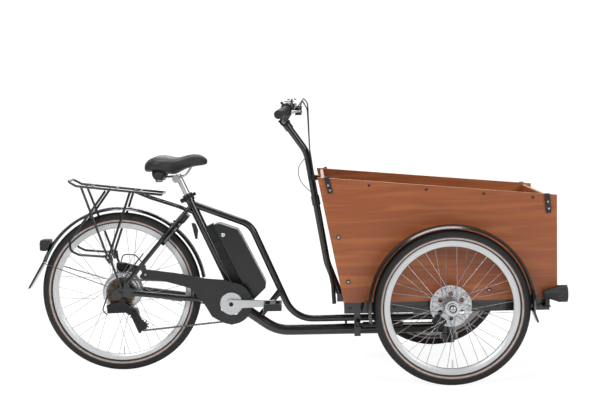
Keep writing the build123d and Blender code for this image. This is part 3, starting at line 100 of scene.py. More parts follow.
def surface(name, dark, light, rough, metal=0.0, grain=40.0, bump=0.05, stretch=(1, 1, 1), coat=0.0):
    """A finish that drifts between two colours and two roughnesses, in blotches of a grain in millimetres.

    A bump of a quarter of that grain gives the skin its texture, and a coat is a clear lacquer over it.
    """
    mat = bpy.data.materials.new(name)
    mat.use_nodes = True
    tree = mat.node_tree
    shader = tree.nodes["Principled BSDF"]
    place = node(tree, "ShaderNodeTexCoord")
    scaled = node(tree, "ShaderNodeMapping", {"Vector": place.outputs["Object"], "Scale": stretch})
    noise = node(tree, "ShaderNodeTexNoise", {"Vector": scaled.outputs[0], "Scale": 1 / (grain * MM),
                                              "Detail": 3.0})
    mix = node(tree, "ShaderNodeValToRGB", {"Fac": noise.outputs["Fac"]})
    mix.color_ramp.elements[0].position, mix.color_ramp.elements[1].position = 0.35, 0.65
    mix.color_ramp.elements[0].color, mix.color_ramp.elements[1].color = colour(dark), colour(light)
    spread = node(tree, "ShaderNodeMapRange", {"Value": noise.outputs["Fac"], "To Min": rough[0],
                                               "To Max": rough[1]})
    fine = node(tree, "ShaderNodeTexNoise", {"Vector": scaled.outputs[0], "Scale": 4 / (grain * MM),
                                             "Detail": 4.0})
    relief = node(tree, "ShaderNodeBump", {"Height": fine.outputs["Fac"], "Strength": bump,
                                           "Distance": 0.6 * MM})
    tree.links.new(mix.outputs["Color"], shader.inputs["Base Color"])
    tree.links.new(spread.outputs[0], shader.inputs["Roughness"])
    tree.links.new(relief.outputs[0], shader.inputs["Normal"])
    shader.inputs["Metallic"].default_value = metal
    shader.inputs["Coat Weight"].default_value = coat
    return mat


GRAIN_STRETCH = (1.8, 26, 26)       # the wood's figure is drawn out along the board, and narrow across it
GRAIN_RINGS = 11.0
PORE_FINENESS = 6                   # how many times finer than the figure the pores are
END_PANEL_FACING = 0.6              # a face whose normal points this far along X belongs to an end panel


def wood(name):
    """Lacquered plywood: level grain with darker rings and fine pores, across the box on its end panels."""
    mat = bpy.data.materials.new(name)
    mat.use_nodes = True
    tree = mat.node_tree
    shader = tree.nodes["Principled BSDF"]
    place = node(tree, "ShaderNodeTexCoord")
    axes = node(tree, "ShaderNodeSeparateXYZ", {"Vector": place.outputs["Object"]})
    swapped = node(tree, "ShaderNodeCombineXYZ", {"X": axes.outputs["Y"], "Y": axes.outputs["X"],
                                                  "Z": axes.outputs["Z"]})
    facing = node(tree, "ShaderNodeSeparateXYZ", {"Vector": place.outputs["Normal"]})
    ahead = node(tree, "ShaderNodeMath", {0: facing.outputs["X"]}, operation="ABSOLUTE")
    is_end = node(tree, "ShaderNodeMath", {0: ahead.outputs[0], 1: END_PANEL_FACING},
                  operation="GREATER_THAN")
    # inputs 4 and 5 and output 1 are this node's vector sockets
    grain_way = node(tree, "ShaderNodeMix", {0: is_end.outputs[0], 4: place.outputs["Object"],
                                             5: swapped.outputs[0]}, data_type="VECTOR")
    long_way = node(tree, "ShaderNodeMapping", {"Vector": grain_way.outputs[1], "Scale": GRAIN_STRETCH})
    drift = node(tree, "ShaderNodeTexNoise", {"Vector": long_way.outputs[0], "Scale": 1.1, "Detail": 5.0,
                                              "Distortion": 0.9})
    rings = node(tree, "ShaderNodeMath", {0: drift.outputs["Fac"], 1: GRAIN_RINGS}, operation="MULTIPLY")
    wave = node(tree, "ShaderNodeMath", {0: rings.outputs[0]}, operation="SINE")
    level = node(tree, "ShaderNodeMapRange", {"Value": wave.outputs[0], "From Min": -1.0, "From Max": 1.0})
    pores_way = node(tree, "ShaderNodeMapping", {"Vector": grain_way.outputs[1],
                                                 "Scale": tuple(v * PORE_FINENESS for v in GRAIN_STRETCH)})
    pores = node(tree, "ShaderNodeTexNoise", {"Vector": pores_way.outputs[0], "Scale": 9.0, "Detail": 6.0})
    both = node(tree, "ShaderNodeMath", {0: pores.outputs["Fac"], 1: 1.5, 2: level.outputs[0]},
                operation="MULTIPLY_ADD")
    ramp = node(tree, "ShaderNodeValToRGB")
    share = node(tree, "ShaderNodeMath", {0: both.outputs[0], 1: 0.4}, operation="MULTIPLY")
    tree.links.new(share.outputs[0], ramp.inputs["Fac"])
    ramp.color_ramp.elements[0].position, ramp.color_ramp.elements[1].position = 0.15, 0.85
    ramp.color_ramp.elements[0].color, ramp.color_ramp.elements[1].color = colour("7b3b1a"), colour("a25e2e")
    relief = node(tree, "ShaderNodeBump", {"Height": pores.outputs["Fac"], "Strength": 0.08,
                                           "Distance": 0.4 * MM})
    tree.links.new(ramp.outputs["Color"], shader.inputs["Base Color"])
    tree.links.new(relief.outputs[0], shader.inputs["Normal"])
    shader.inputs["Roughness"].default_value = 0.42
    shader.inputs["Coat Weight"].default_value = 0.15
    return mat


mats = {
    # powder-coated steel tube: near black, with a narrow highlight along each tube
    "paint": surface("satin black paint", "0b0c0d", "111214", (0.2, 0.28), grain=60, bump=0.02, coat=0.3),
    # moulded fender plastic: smooth, with a clear shine over its crown
    "fender": surface("black fender plastic", "08090a", "0e0f10", (0.2, 0.3), grain=60, bump=0.02, coat=0.2),
    # moulded guard plastic: flatter than the fenders, so its face reads as dark grey
    "guard": surface("satin guard plastic", "0c0d0e", "131415", (0.4, 0.5), grain=40, bump=0.04),
    # vulcanised rubber: dull, with a dusty grain
    "tread": surface("tread rubber", "0e0e0f", "161617", (0.7, 0.85), grain=6, bump=0.25),
    # brown rubber bands that edge the tyre's sidewall
    "stripe": surface("brown sidewall stripe", "4a2a1e", "5c3829", (0.6, 0.7), grain=20, bump=0.05),
    # pale rubber band between them
    "bead": surface("pale sidewall band", "8f8a86", "a09b97", (0.5, 0.6), grain=20, bump=0.05),
    # satin anodised aluminium: pale and soft, without clear reflections
    "rim": surface("satin silver rim", "b9bbbc", "c4c6c7", (0.34, 0.42), metal=0.35, grain=300, bump=0.01),
    # drawn stainless wire: bright, with a fine line of light
    "spoke": surface("stainless spoke", "8d8f92", "a9abae", (0.22, 0.3), metal=1.0, grain=40, bump=0.01),
    # polished aluminium hub shell and rotor: mirrors the room in broad patches
    "hub": surface("polished hub", "b2b4b6", "bfc1c3", (0.22, 0.3), metal=0.9, grain=90, bump=0.01),
    # brushed steel: bright, with faint patches where it is rougher
    "steel": surface("brushed steel", "97999c", "a9abae", (0.25, 0.36), metal=1.0, grain=30, bump=0.03),
    # satin forged aluminium: pale, with a wide highlight
    "alloy": surface("satin alloy", "adafb1", "babcbe", (0.28, 0.36), metal=0.85, grain=120, bump=0.015),
    # black anodised aluminium: dark, with a metal's sheen
    "dark_alloy": surface("dark alloy", "18191b", "242528", (0.32, 0.42), metal=0.6, grain=18, bump=0.04),
    # heat-browned sprocket steel
    "brown_steel": surface("brown steel", "4a3c2e", "6e5c48", (0.3, 0.42), metal=0.9, grain=10, bump=0.05),
    # oiled chain steel: warm grey and uneven
    "chain": surface("oiled chain steel", "4e4a44", "7d776d", (0.3, 0.45), metal=1.0, grain=6, bump=0.08),
    # textured ABS: matt black with a soft speckle
    "plastic": surface("matt black plastic", "0c0d0e", "141516", (0.45, 0.6), grain=12, bump=0.08),
    # smooth ABS shells: black, with a clear but soft shine
    "gloss": surface("smooth black plastic", "0b0c0d", "121315", (0.24, 0.32), grain=80, bump=0.02),
    # extruded cable cover: black and slightly waxy
    "cable": surface("cable cover", "0c0d0e", "151617", (0.35, 0.45), grain=10, bump=0.04),
    # grip rubber: dull, with a coarse skin
    "grip": surface("grip rubber", "0c0d0e", "151617", (0.6, 0.75), grain=4, bump=0.25),
    # saddle vinyl: black, soft in its shine, with a fine skin
    "saddle": surface("saddle cover", "0d0e10", "16171a", (0.45, 0.58), grain=5, bump=0.2),
    # red acrylic lens: dark until the light catches it
    "red": surface("red lens", "4d0608", "7a0d10", (0.12, 0.2), grain=30, bump=0.02, coat=0.6),
    # clear acrylic lens: pale and very smooth
    "lens": surface("clear lens", "a9adb2", "c4c8cc", (0.05, 0.12), grain=30, bump=0.02, coat=0.6),
    # chromed steel: a near mirror
    "chrome": surface("chrome", "a8aaad", "c3c5c8", (0.06, 0.14), metal=1.0, grain=40, bump=0.01),
    # lacquered plywood: warm brown with a level grain
    "wood": wood("lacquered plywood"),
    # cut plywood edge: pale, with its plies as fine lines
    "edge": surface("plywood edge", "8f6a45", "b08a60", (0.5, 0.6), grain=6, bump=0.15, stretch=(1, 1, 9)),
}


def paint(name, key):
    """Give a CAD node one of the materials above."""
    target = nodes[name].data
    target.materials.clear()
    target.materials.append(mats[key])


# which CAD nodes wear which finish
node_looks = {
    "paint": "main_tube upper_tube seat_tube chain_stays seat_stays steering_head rear_rack box_frame "
             "steering_column handlebar",
    "fender": "rear_fender front_fenders",
    "guard": "chain_guard",
    "rim": "rear_rim right_rim left_rim",
    "spoke": "rear_spokes right_spokes left_spokes",
    "hub": "rear_hub right_hub left_hub",
    "steel": "chainring saddle_rails lock_bolt",
    "brown_steel": "freewheel",
    "alloy": "crank_arms seat_post brake_lever_right brake_lever_left",
    "dark_alloy": "rear_caliper front_calipers derailleur derailleur_cage battery_dock seat_clamp_lever",
    "chain": "chain",
    "plastic": "headlight tail_light guide_pulley tension_pulley gear_shifter bell_lever pedal_right "
               "pedal_left box_fittings",
    "gloss": "battery ring_lock damper_cylinder",
    "cable": "rear_cables front_cables cable_loop",
    "grip": "grips",
    "saddle": "saddle",
    "chrome": "bell damper_rod",
    "wood": "box_panels",
    "tread": "rear_tyre right_tyre left_tyre",
}
for key, names in node_looks.items():
    for name in names.split():
        paint(name, key)


# ------------------------------------------------------------ mesh builders
def mesh_object(name, verts, faces, mat, body, smooth=True):
    """A new piece that rides on a body and wears one finish."""
    data = bpy.data.meshes.new(name)
    data.from_pydata([tuple(v) for v in verts], [], faces)
    data.validate()
    data.update()
    if smooth:
        data.shade_smooth()
    made = bpy.data.objects.new(name, data)
    made.data.materials.append(mats[mat])
    bpy.context.scene.collection.objects.link(made)
    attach(made, body)
    return made


def spin(name, section, centre, mat, body, steps=160):
    """Turn a closed section of (radius, y) points, in millimetres, about an axle that lies along Y."""
    verts, faces, count = [], [], len(section)
    for i in range(steps):
        angle = radians(360.0 * i / steps)
        for radius, y in section:
            verts.append((centre[0] + radius * MM * cos(angle), centre[1] + y * MM,
                          centre[2] + radius * MM * sin(angle)))
    for i in range(steps):
        here, there = i * count, ((i + 1) % steps) * count
        for j in range(count):
            k = (j + 1) % count
            faces.append((here + j, here + k, there + k, there + j))
    return mesh_object(name, verts, faces, mat, body)


def turned_up(name, section, x, y, mat, body, steps=40):
    """A piece turned about an upright axis at (x, y), from a section of (radius, height) in millimetres."""
    verts, faces, count = [], [], len(section)
    for q in range(steps):
        turn = 2 * pi * q / steps
        verts += [Vector(((x + r * cos(turn)) * MM, (y + r * sin(turn)) * MM, up * MM)) for r, up in section]
    for q in range(steps):
        here, there = q * count, (q + 1) % steps * count
        faces += [(here + k, there + k, there + (k + 1) % count, here + (k + 1) % count)
                  for k in range(count)]
    return mesh_object(name, verts, faces, mat, body)


BLOCK_CORNERS = ((-1, -1, -1), (1, -1, -1), (1, 1, -1), (-1, 1, -1),
                 (-1, -1, 1), (1, -1, 1), (1, 1, 1), (-1, 1, 1))
BLOCK_FACES = ((3, 2, 1, 0), (4, 5, 6, 7), (0, 1, 5, 4), (1, 2, 6, 5), (2, 3, 7, 6), (3, 0, 4, 7))


def boxes(name, places, mat, body, bevel=0.0):
    """Many small blocks in one piece, each with a centre and three axes as long as its half sizes.

    The bevel rounds their edges, in millimetres.
    """
    verts, faces = [], []
    for centre, ax, ay, az in places:
        base = len(verts)
        verts += [centre + ax * sx + ay * sy + az * sz for sx, sy, sz in BLOCK_CORNERS]
        faces += [tuple(base + k for k in face) for face in BLOCK_FACES]
    made = mesh_object(name, verts, faces, mat, body, smooth=False)
    if bevel:
        rounding = made.modifiers.new("bevel", "BEVEL")
        rounding.width = bevel * MM
        rounding.segments = 3
        rounding.limit_method = "ANGLE"
        rounding.angle_limit = radians(35)
    return made


# ------------------------------------------------------------ wheels
# each wheel's body, axle, radius over the tread and radius at the tyre's bead, in millimetres
wheels = {
    "rear": ("rear_wheel", REAR_AXLE, 327.0, 279.5),
    "right": ("right_wheel", RIGHT_AXLE, 300.0, 253.5),
    "left": ("left_wheel", LEFT_AXLE, 300.0, 253.5),
}
section_r, wall = 23.5, 3.4
skin_drop = 0.7                     # the casing lies this far below the top of the tread blocks
block_half_height = 0.75
block_pitch = 16.0
# rows of tread blocks: lean from the middle in degrees, half width and half length
tread_rows = ((0, 2.6, 5.2), (15, 2.2, 4.6), (-15, 2.2, 4.6), (31, 2.0, 3.6), (-31, 2.0, 3.6))
# raised bands on each sidewall: place along the radius from the section's middle, half width, finish
sidewall_bands = ((-13.6, 1.2, "stripe"), (-8.4, 3.2, "bead"), (-3.2, 1.2, "stripe"))
band_rise, band_depth = 0.25, 0.6


def tyre_section(wheel_r, bead_r):
    """Outside and inside of a tyre's section, from one bead round the tread to the other."""
    middle = wheel_r - section_r
    opening, steps = 128, 28        # half the section's arc in degrees, and the flats round it
    outside, inside = [], []
    for i in range(steps + 1):
        angle = radians(-opening + 2 * opening * i / steps)
        outside.append((middle + section_r * cos(angle), section_r * sin(angle)))
        inside.append((middle + (section_r - wall) * cos(angle), (section_r - wall) * sin(angle)))
    foot_r, foot_out, foot_in = bead_r + 4, 9.6, 6.5
    foot = [(foot_r, foot_out), (foot_r, foot_in)]
    return outside + foot + inside[::-1] + [(foot_r, -foot_in), (foot_r, -foot_out)]


def tread_blocks(name, body, centre, wheel_r):
    """Low tread blocks: a middle row, and two staggered rows on each shoulder."""
    places = []
    middle = wheel_r - section_r
    count = int(2 * pi * wheel_r / block_pitch)
    for row, (lean, half_y, half_t) in enumerate(tread_rows):
        for i in range(count):
            angle = 2 * pi * (i + (0.5 if row in (1, 2) else 0)) / count
            radial = Vector((cos(angle), 0, sin(angle)))
            along = Vector((-sin(angle), 0, cos(angle)))
            out = radial * cos(radians(lean)) + Y * sin(radians(lean))
            cross = Y * cos(radians(lean)) - radial * sin(radians(lean))
            spot = centre + radial * middle * MM + out * (section_r - block_half_height) * MM
            skew = along + cross * (0.25 if row % 2 else -0.25)
            places.append((spot, skew.normalized() * half_t * MM, cross * half_y * MM,
                           out * block_half_height * MM))
    boxes(name, places, "tread", body)


for key, (body, centre, wheel_r, bead_r) in wheels.items():
    casing = tyre_section(wheel_r - skin_drop, bead_r)
    tyre = spin(f"{key}_tyre_skin", casing, centre, "tread", body)
    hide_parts(f"{key}_tyre")
    tread_blocks(f"{key}_tread", body, centre, wheel_r)
    middle = wheel_r - skin_drop - section_r
    for side in (-1, 1):
        for band, (reach, half, mat) in enumerate(sidewall_bands):
            across = [reach + half * (k / 2 - 1) for k in range(5)]
            ring = [(middle + at, side * (sqrt(section_r ** 2 - at ** 2) + band_rise)) for at in across]
            ring += [(middle + at, side * (sqrt(section_r ** 2 - at ** 2) - band_depth))
                     for at in across[::-1]]
            spin(f"{key}_stripe_{side}_{band}", ring, centre, mat, body)


# ------------------------------------------------------------ chain links
CHAIN_PITCH = 12.7 * MM
CHAIN_Y = -43.0                     # the chain's middle plane, and its sizes, in millimetres
plate_thickness, plate_half_height = 0.85, 4.1
inner_plate_y, outer_plate_y = 1.2, 2.1
roller_r, roller_half_width = 1.9, 3.4
waist = 0.66                        # a plate's height between its pins, as a share of its ends'


def pitch_r(teeth):
    """Pitch circle of a sprocket, in metres."""
    return CHAIN_PITCH / (2 * sin(pi / teeth))


# the sprocket, chainring and two pulleys as (x, z, radius); the chain passes the last one on its outside
chain_stops = [(REAR_AXLE.x, REAR_AXLE.z, pitch_r(28)), (CRANK_X, CRANK_Z, pitch_r(38)),
               (-0.602, 0.190, pitch_r(10)), (-0.640, 0.243, -pitch_r(10))]


def loop_line(stops):
    """Points round the chain's closed path: each straight run, then the arc round the next wheel."""
    run_steps, arc_steps = 80, 40
    runs = []
    for i, (x, z, r) in enumerate(stops):
        nx, nz, nr = stops[(i + 1) % len(stops)]
        span = hypot(nx - x, nz - z)
        angle = atan2(nz - z, nx - x) + atan2(sqrt(span ** 2 - (r - nr) ** 2), r - nr)
        runs.append(((x + r * cos(angle), z + r * sin(angle)), (nx + nr * cos(angle), nz + nr * sin(angle))))
    line = []
    for i, (first, last) in enumerate(runs):
        line += [(first[0] + (last[0] - first[0]) * t / run_steps,
                  first[1] + (last[1] - first[1]) * t / run_steps) for t in range(run_steps + 1)]
        x, z, r = stops[(i + 1) % len(stops)]
        follow = runs[(i + 1) % len(runs)][0]
        a, b = atan2(last[1] - z, last[0] - x), atan2(follow[1] - z, follow[0] - x)
        turn = (a - b) % (2 * pi) if r > 0 else -((b - a) % (2 * pi))
        line += [(x + abs(r) * cos(a - turn * t / arc_steps), z + abs(r) * sin(a - turn * t / arc_steps))
                 for t in range(1, arc_steps)]
    return line


def pin_places(line):
    """Pins spaced evenly round a closed line, with the even number of links nearest to the chain's pitch."""
    tiny = 1e-9
    steps = [hypot(b[0] - a[0], b[1] - a[1]) for a, b in zip(line, line[1:] + line[:1])]
    links = round(sum(steps) / CHAIN_PITCH / 2) * 2
    gap = sum(steps) / links
    places, walked, index = [], 0.0, 0
    for n in range(links):
        while walked + steps[index] < n * gap - tiny:
            walked += steps[index]
            index += 1
        share = (n * gap - walked) / max(steps[index], tiny)
        a, b = line[index], line[(index + 1) % len(line)]
        places.append((a[0] + (b[0] - a[0]) * share, a[1] + (b[1] - a[1]) * share))
    return places


def link_plate(first, last, y, half_height):
    """A waisted plate with round ends between two pins, as a closed ring of points."""
    way = Vector((last[0] - first[0], 0, last[1] - first[1])).normalized()
    up = Vector((-way.z, 0, way.x))
    ring = []
    for pin, sign in ((Vector((last[0], y, last[1])), 1), (Vector((first[0], y, first[1])), -1)):
        for k in range(-3, 4):
            turn = radians(30 * k)
            ring.append(pin + (way * cos(turn) + up * sin(turn)) * sign * half_height)
        middle = (Vector((first[0], y, first[1])) + Vector((last[0], y, last[1]))) / 2
        ring.append(middle + up * sign * half_height * waist)
    return ring


pins = pin_places(loop_line(chain_stops))
verts, faces = [], []
for i, first in enumerate(pins):
    last = pins[(i + 1) % len(pins)]
    for side in (-1, 1):
        inner = inner_plate_y if i % 2 else outer_plate_y
        rings = [link_plate(first, last, (CHAIN_Y + side * (inner + t)) * MM, plate_half_height * MM)
                 for t in (0.0, plate_thickness)]
        base, count = len(verts), len(rings[0])
        verts += rings[0] + rings[1]
        for j in range(count):
            k = (j + 1) % count
            faces.append((base + j, base + k, base + count + k, base + count + j))
        faces += [tuple(range(base, base + count))[::-1], tuple(range(base + count, base + 2 * count))]
    base = len(verts)
    for y in (CHAIN_Y - roller_half_width, CHAIN_Y + roller_half_width):
        verts += [Vector((first[0] + roller_r * MM * cos(pi * q / 4), y * MM,
                          first[1] + roller_r * MM * sin(pi * q / 4))) for q in range(8)]
    for q in range(8):
        faces.append((base + q, base + (q + 1) % 8, base + 8 + (q + 1) % 8, base + 8 + q))
    faces += [tuple(range(base, base + 8))[::-1], tuple(range(base + 8, base + 16))]
links_piece = mesh_object("chain_links", verts, faces, "chain", "frame", smooth=False)
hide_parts("chain")


# ------------------------------------------------------------ saddle
def saddle_ring(x, half, low, high, dip, count=40):
    """A section of the padded cover: a crowned top with a shallow groove, full flanks and a drawn-in hem."""
    groove, drawn_in = 0.34, 0.16   # as shares of the half width
    ring = []
    for i in range(count):
        a = 2 * pi * i / count
        y, z = cos(a), sin(a)
        wide = half * (abs(y) ** 0.82) * (1 if y >= 0 else -1)
        middle, tall = (low + high) / 2, (high - low) / 2
        if z >= 0:
            rise = middle + tall * (z ** 0.75) - dip * max(0.0, 1 - (wide / (half * groove)) ** 2)
        else:
            rise = middle - tall * (abs(z) ** 0.6)
            wide *= 1 - drawn_in * abs(z) ** 2
        ring.append(Vector((x * MM, wide * MM, rise * MM)))
    return ring


# from the rear edge to the nose: x, half width, underside, top and depth of the groove, in millimetres
stations = [(-577.5, 44, 826, 846, 0), (-573, 64, 819, 858, 0), (-563, 82, 818, 868, 0.5),
            (-547, 94, 819, 877, 1.5), (-524, 101, 818, 885, 3.5), (-498, 101, 812, 886, 5),
            (-473, 90, 807, 880, 5), (-457, 78, 806, 876.5, 4.5), (-437, 61, 814, 876, 4),
            (-421, 50, 823, 880, 3), (-401, 41, 832, 885.5, 2), (-375, 35, 837, 888, 1),
            (-350, 29, 839, 884, 0.5), (-333, 21, 842, 873, 0), (-324, 12, 847, 863, 0)]
rings = [saddle_ring(*station) for station in stations]
verts = [p for ring in rings for p in ring]
count = len(rings[0])
faces = [(i * count + j, i * count + (j + 1) % count, (i + 1) * count + (j + 1) % count, (i + 1) * count + j)
         for i in range(len(rings) - 1) for j in range(count)]
faces += [tuple(range(count))[::-1], tuple(range((len(rings) - 1) * count, len(rings) * count))]
cover = mesh_object("saddle_cover", verts, faces, "saddle", "seat")
smooth_step = cover.modifiers.new("round", "SUBSURF")
smooth_step.levels = smooth_step.render_levels = 2
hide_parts("saddle")


# ------------------------------------------------------------ free cable loop
def curve_tube(name, points, diameter, mat, body):
    """A round cable or bent bar on a smooth line led by control points, in metres."""
    data = bpy.data.curves.new(name, "CURVE")
    data.dimensions = "3D"
    line = data.splines.new("NURBS")
    line.points.add(len(points) - 1)
    for spot, point in zip(line.points, points):
        spot.co = (*point, 1)
    line.order_u = 3
    line.use_endpoint_u = True
    line.resolution_u = 12
    data.bevel_depth = diameter / 2
    data.bevel_resolution = 4
    data.materials.append(mats[mat])
    made = bpy.data.objects.new(name, data)
    bpy.context.scene.collection.objects.link(made)
    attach(made, body)
    return made


cable_diameter = 0.003
loop_points = [(0.0717, 0, 0.8575), (0.060, 0, 0.8435), (0.049, 0, 0.829), (0.0468, 0, 0.813),
               (0.045, 0, 0.797), (0.050, 0, 0.781), (0.055, 0, 0.765), (0.066, 0, 0.7515),
               (0.077, 0, 0.738), (0.096, 0, 0.722)]
loop = curve_tube("cable_loop_cord", loop_points, cable_diameter, "cable", "front")
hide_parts("cable_loop")


# ------------------------------------------------------------ lamps
def headlight_glass(name, x, y, z, radius, depth, mat, body):
    """A shallow domed glass facing forward, closed by a flat back."""
    rings, steps = 6, 40
    verts, faces = [Vector(((x + depth) * MM, y * MM, z * MM))], []
    for k in range(1, rings + 1):
        lean = pi / 2 * k / rings
        for q in range(steps):
            turn = 2 * pi * q / steps
            verts.append(Vector(((x + depth * cos(lean)) * MM, (y + radius * sin(lean) * cos(turn)) * MM,
                                 (z + radius * sin(lean) * sin(turn)) * MM)))
    faces += [(0, 1 + q, 1 + (q + 1) % steps) for q in range(steps)]
    for k in range(rings - 1):
        for q in range(steps):
            a, b = 1 + k * steps + q, 1 + k * steps + (q + 1) % steps
            faces.append((a, a + steps, b + steps, b))
    faces.append(tuple(1 + (rings - 1) * steps + q for q in range(steps)))
    return mesh_object(name, verts, faces, mat, body)


headlight_glass("headlight_lens", 1070.5, -325, 337, 30, 4, "lens", "front")
boxes("tail_lens", [(Vector((-1.0185, 0, 0.521)), X * 0.0025, Y * 0.0195, Z * 0.0165)], "red", "frame",
      bevel=2)


# ------------------------------------------------------------ small fittings
def dome(name, places, radius, height, mat, body):
    """Round-headed fasteners whose axes lie along Y; each place is (x, y, z, side) in millimetres."""
    leans, steps = (30, 60, 90), 16
    verts, faces = [], []
    for x, y, z, side in places:
        base = len(verts)
        verts.append(Vector((x * MM, (y + side * height) * MM, z * MM)))
        for lean in leans:
            for q in range(steps):
                turn = 2 * pi * q / steps
                verts.append(Vector(((x + radius * sin(radians(lean)) * cos(turn)) * MM,
                                     (y + side * height * cos(radians(lean))) * MM,
                                     (z + radius * sin(radians(lean)) * sin(turn)) * MM)))
        for q in range(steps):
            r = (q + 1) % steps
            faces.append((base, base + 1 + q, base + 1 + r))
            for k in (1, 1 + steps):
                faces.append((base + k + q, base + k + steps + q, base + k + steps + r, base + k + r))
        faces.append(tuple(base + 1 + 2 * steps + q for q in range(steps)))
    return mesh_object(name, verts, faces, mat, body)


# (x, z) of the fasteners on each side of the box, and the planes their heads stand on, in millimetres
panel_bolts = [(199, 567), (234, 393), (779, 350)]
strap_screws = [(163, 770), (169, 751), (1006, 690), (1009, 664)]
panel_y, strap_y, axle_end_y, rack_foot_y, crank_end_y = 296, 300.5, 422.4, 75, 99
rack_foot_bolts = [(-733, 478), (-722, 464)]
for side in (-1, 1):
    bolts = [(x, side * panel_y, z, side) for x, z in panel_bolts]
    dome(f"panel_bolts_{side}", bolts, 5, 2.2, "steel", "front")
    screws = [(x, side * strap_y, z, side) for x, z in strap_screws]
    dome(f"strap_screws_{side}", screws, 4.2, 1.6, "steel", "front")
    dome(f"axle_cap_{side}", [(624, side * axle_end_y, 300, side)], 11, 3.5, "steel", "front")
dome("guard_bolt", [(-582, -83, 406, -1)], 4.5, 1.8, "steel", "frame")
rack_bolts = [(x, side * rack_foot_y, z, side) for x, z in rack_foot_bolts for side in (-1, 1)]
dome("rack_bolts", rack_bolts, 5, 2.5, "steel", "frame")
dome("battery_lock", [(-266, -38, 556, -1)], 8, 2.2, "alloy", "battery_pack")
crank_ends = [(-236, side * crank_end_y, 280, side) for side in (-1, 1)]
dome("crank_caps", crank_ends, 9, 3, "dark_alloy", "crank")

# pedal cages with toothed plates
pedal_y, plate_x, plate_half_length, plate_half_rise = 0.150, 0.0356, 0.043, 0.0105
plate_half_thickness = 0.0008
teeth, tooth_gap, tooth_z, tooth_half_length, tooth_half_rise = 7, 0.0125, 0.0122, 0.003, 0.0022
for side, body, pedal_x in ((-1, "right_pedal", CRANK_X + CRANK_LENGTH),
                            (1, "left_pedal", CRANK_X - CRANK_LENGTH)):
    places = []
    for face in (-1, 1):
        centre = Vector((pedal_x + face * plate_x, side * pedal_y, CRANK_Z))
        places.append((centre, X * plate_half_thickness, Y * plate_half_length, Z * plate_half_rise))
        for k in range(teeth):
            for up in (-1, 1):
                places.append((centre + Y * (k - teeth // 2) * tooth_gap + Z * up * tooth_z,
                               X * plate_half_thickness, Y * tooth_half_length, Z * tooth_half_rise))
    boxes(f"pedal_plates_{side}", places, "alloy", body)

# pale ply edges along the tops of the side and front panels
slope = Vector((920, 0, -86)).normalized()
side_panel_y, ply_half, veneer_half = 0.284, 0.0058, 0.0003
edges = [(Vector((0.582, side * side_panel_y, 0.7582)), slope * 0.462, Y * ply_half, Z * veneer_half)
         for side in (-1, 1)]
edges += [(Vector((1.0422, side * side_panel_y, 0.513)), X * veneer_half, Y * ply_half, Z * 0.201)
          for side in (-1, 1)]
edges.append((Vector((1.010, 0, 0.7112)), X * ply_half, Y * 0.277, Z * veneer_half))
boxes("ply_edges", edges, "edge", "front")

# saddle undercarriage: two bent rails, and two rubber springs that taper to a ringed foot
rail_diameter = 0.007
spring_x, spring_y = -518, 50
spring_section = [(0.5, 779), (12.5, 779), (14, 780.5), (14, 783), (15, 788), (18, 791), (23, 796), (27, 804),
                  (28.5, 813), (27.5, 823), (0.5, 823)]
ring_section = [(13.5, 783), (16, 783.5), (16, 787.5), (13.5, 788)]
for side in (-1, 1):
    rail = [(-0.520, side * 0.048, 0.787), (-0.497, side * 0.033, 0.7925), (-0.484, side * 0.023, 0.796),
            (-0.460, side * 0.022, 0.797), (-0.426, side * 0.022, 0.797), (-0.413, side * 0.022, 0.802),
            (-0.395, side * 0.020, 0.828), (-0.386, side * 0.018, 0.842)]
    curve_tube(f"saddle_rail_{side}", rail, rail_diameter, "steel", "seat")
    spring = turned_up(f"saddle_bumper_{side}", spring_section, spring_x, side * spring_y, "plastic", "seat")
    turned_up(f"bumper_ring_{side}", ring_section, spring_x, side * spring_y, "steel", "seat")
    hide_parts("saddle_rails")


# ------------------------------------------------------------ backdrop and lights
WHITE_GLOW = 1.12                   # the background's strength as the camera sees it
GLOW_SHARE = 0.8                    # of the floor's look; the rest is lit, and keeps the object's shadow
ROOM_LIGHT = 0.3                    # the world's strength on the object


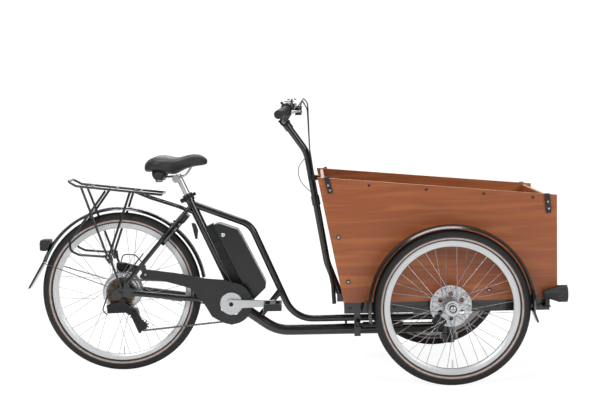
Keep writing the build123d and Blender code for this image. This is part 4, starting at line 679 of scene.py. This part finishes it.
def backdrop():
    """A white floor that curves up behind the object. It can be looked through from its back."""
    near_y, bend_y, bend_r, wall_top, half_width = -9.0, 3.0, 2.0, 9.0, 14
    profile = [(near_y, 0.0), (bend_y, 0.0)]
    profile += [(bend_y + bend_r * sin(radians(9 * k)), bend_r - bend_r * cos(radians(9 * k)))
                for k in range(1, 11)]
    profile += [(bend_y + bend_r, wall_top)]
    verts, faces = [], []
    for y, z in profile:
        verts += [Vector((-half_width, y, z)), Vector((half_width, y, z))]
    for k in range(len(profile) - 1):
        faces.append((2 * k, 2 * k + 1, 2 * k + 3, 2 * k + 2))
    data = bpy.data.meshes.new("backdrop")
    data.from_pydata([tuple(v) for v in verts], [], faces)
    data.shade_smooth()
    made = bpy.data.objects.new("backdrop", data)
    mat = bpy.data.materials.new("white sweep")
    mat.use_nodes = True
    tree = mat.node_tree
    shader = tree.nodes["Principled BSDF"]
    noise = node(tree, "ShaderNodeTexNoise", {"Scale": 0.6})
    tint = node(tree, "ShaderNodeValToRGB", {"Fac": noise.outputs["Fac"]})
    tint.color_ramp.elements[0].color, tint.color_ramp.elements[1].color = colour("fbfbfb"), colour("ffffff")
    tree.links.new(tint.outputs["Color"], shader.inputs["Base Color"])
    shader.inputs["Roughness"].default_value = 0.9
    glow = node(tree, "ShaderNodeEmission", {"Color": (1, 1, 1, 1), "Strength": WHITE_GLOW})
    path = node(tree, "ShaderNodeLightPath")
    share = node(tree, "ShaderNodeMath", {0: path.outputs["Is Camera Ray"], 1: GLOW_SHARE},
                 operation="MULTIPLY")
    blend = node(tree, "ShaderNodeMixShader", {0: share.outputs[0], 1: shader.outputs[0], 2: glow.outputs[0]})
    side = node(tree, "ShaderNodeNewGeometry")
    clear = node(tree, "ShaderNodeBsdfTransparent")
    one_sided = node(tree, "ShaderNodeMixShader", {0: side.outputs["Backfacing"], 1: blend.outputs[0],
                                                   2: clear.outputs[0]})
    tree.links.new(one_sided.outputs[0], tree.nodes["Material Output"].inputs["Surface"])
    data.materials.append(mat)
    bpy.context.scene.collection.objects.link(made)


def lamp(name, where, aim, size, power):
    """A soft rectangular light aimed at a point."""
    data = bpy.data.lights.new(name, "AREA")
    data.shape = "RECTANGLE"
    data.size, data.size_y = size
    data.energy = power
    made = bpy.data.objects.new(name, data)
    made.location = where
    made.rotation_euler = (Vector(aim) - Vector(where)).to_track_quat("-Z", "Y").to_euler()
    bpy.context.scene.collection.objects.link(made)


backdrop()
lamp("key", (-2.2, -3.6, 3.4), (0, 0, 0.5), (1.8, 1.4), 120)
lamp("fill", (3.0, -3.4, 2.2), (0, 0, 0.5), (1.6, 1.4), 70)
lamp("top", (0, 0.4, 4.2), (0, 0, 0), (3.2, 1.2), 130)
lamp("rim", (0, 3.4, 2.6), (0, 0, 0.6), (2.6, 1.0), 50)
world = bpy.data.worlds.new("world")
scene.world = world
world.use_nodes = True
sky = world.node_tree.nodes["Background"]
sky.inputs["Color"].default_value = (1, 1, 1, 1)
ray = node(world.node_tree, "ShaderNodeLightPath")
level = node(world.node_tree, "ShaderNodeMath", {0: ray.outputs["Is Camera Ray"], 1: WHITE_GLOW - ROOM_LIGHT,
                                                   2: ROOM_LIGHT}, operation="MULTIPLY_ADD")
world.node_tree.links.new(level.outputs[0], sky.inputs["Strength"])
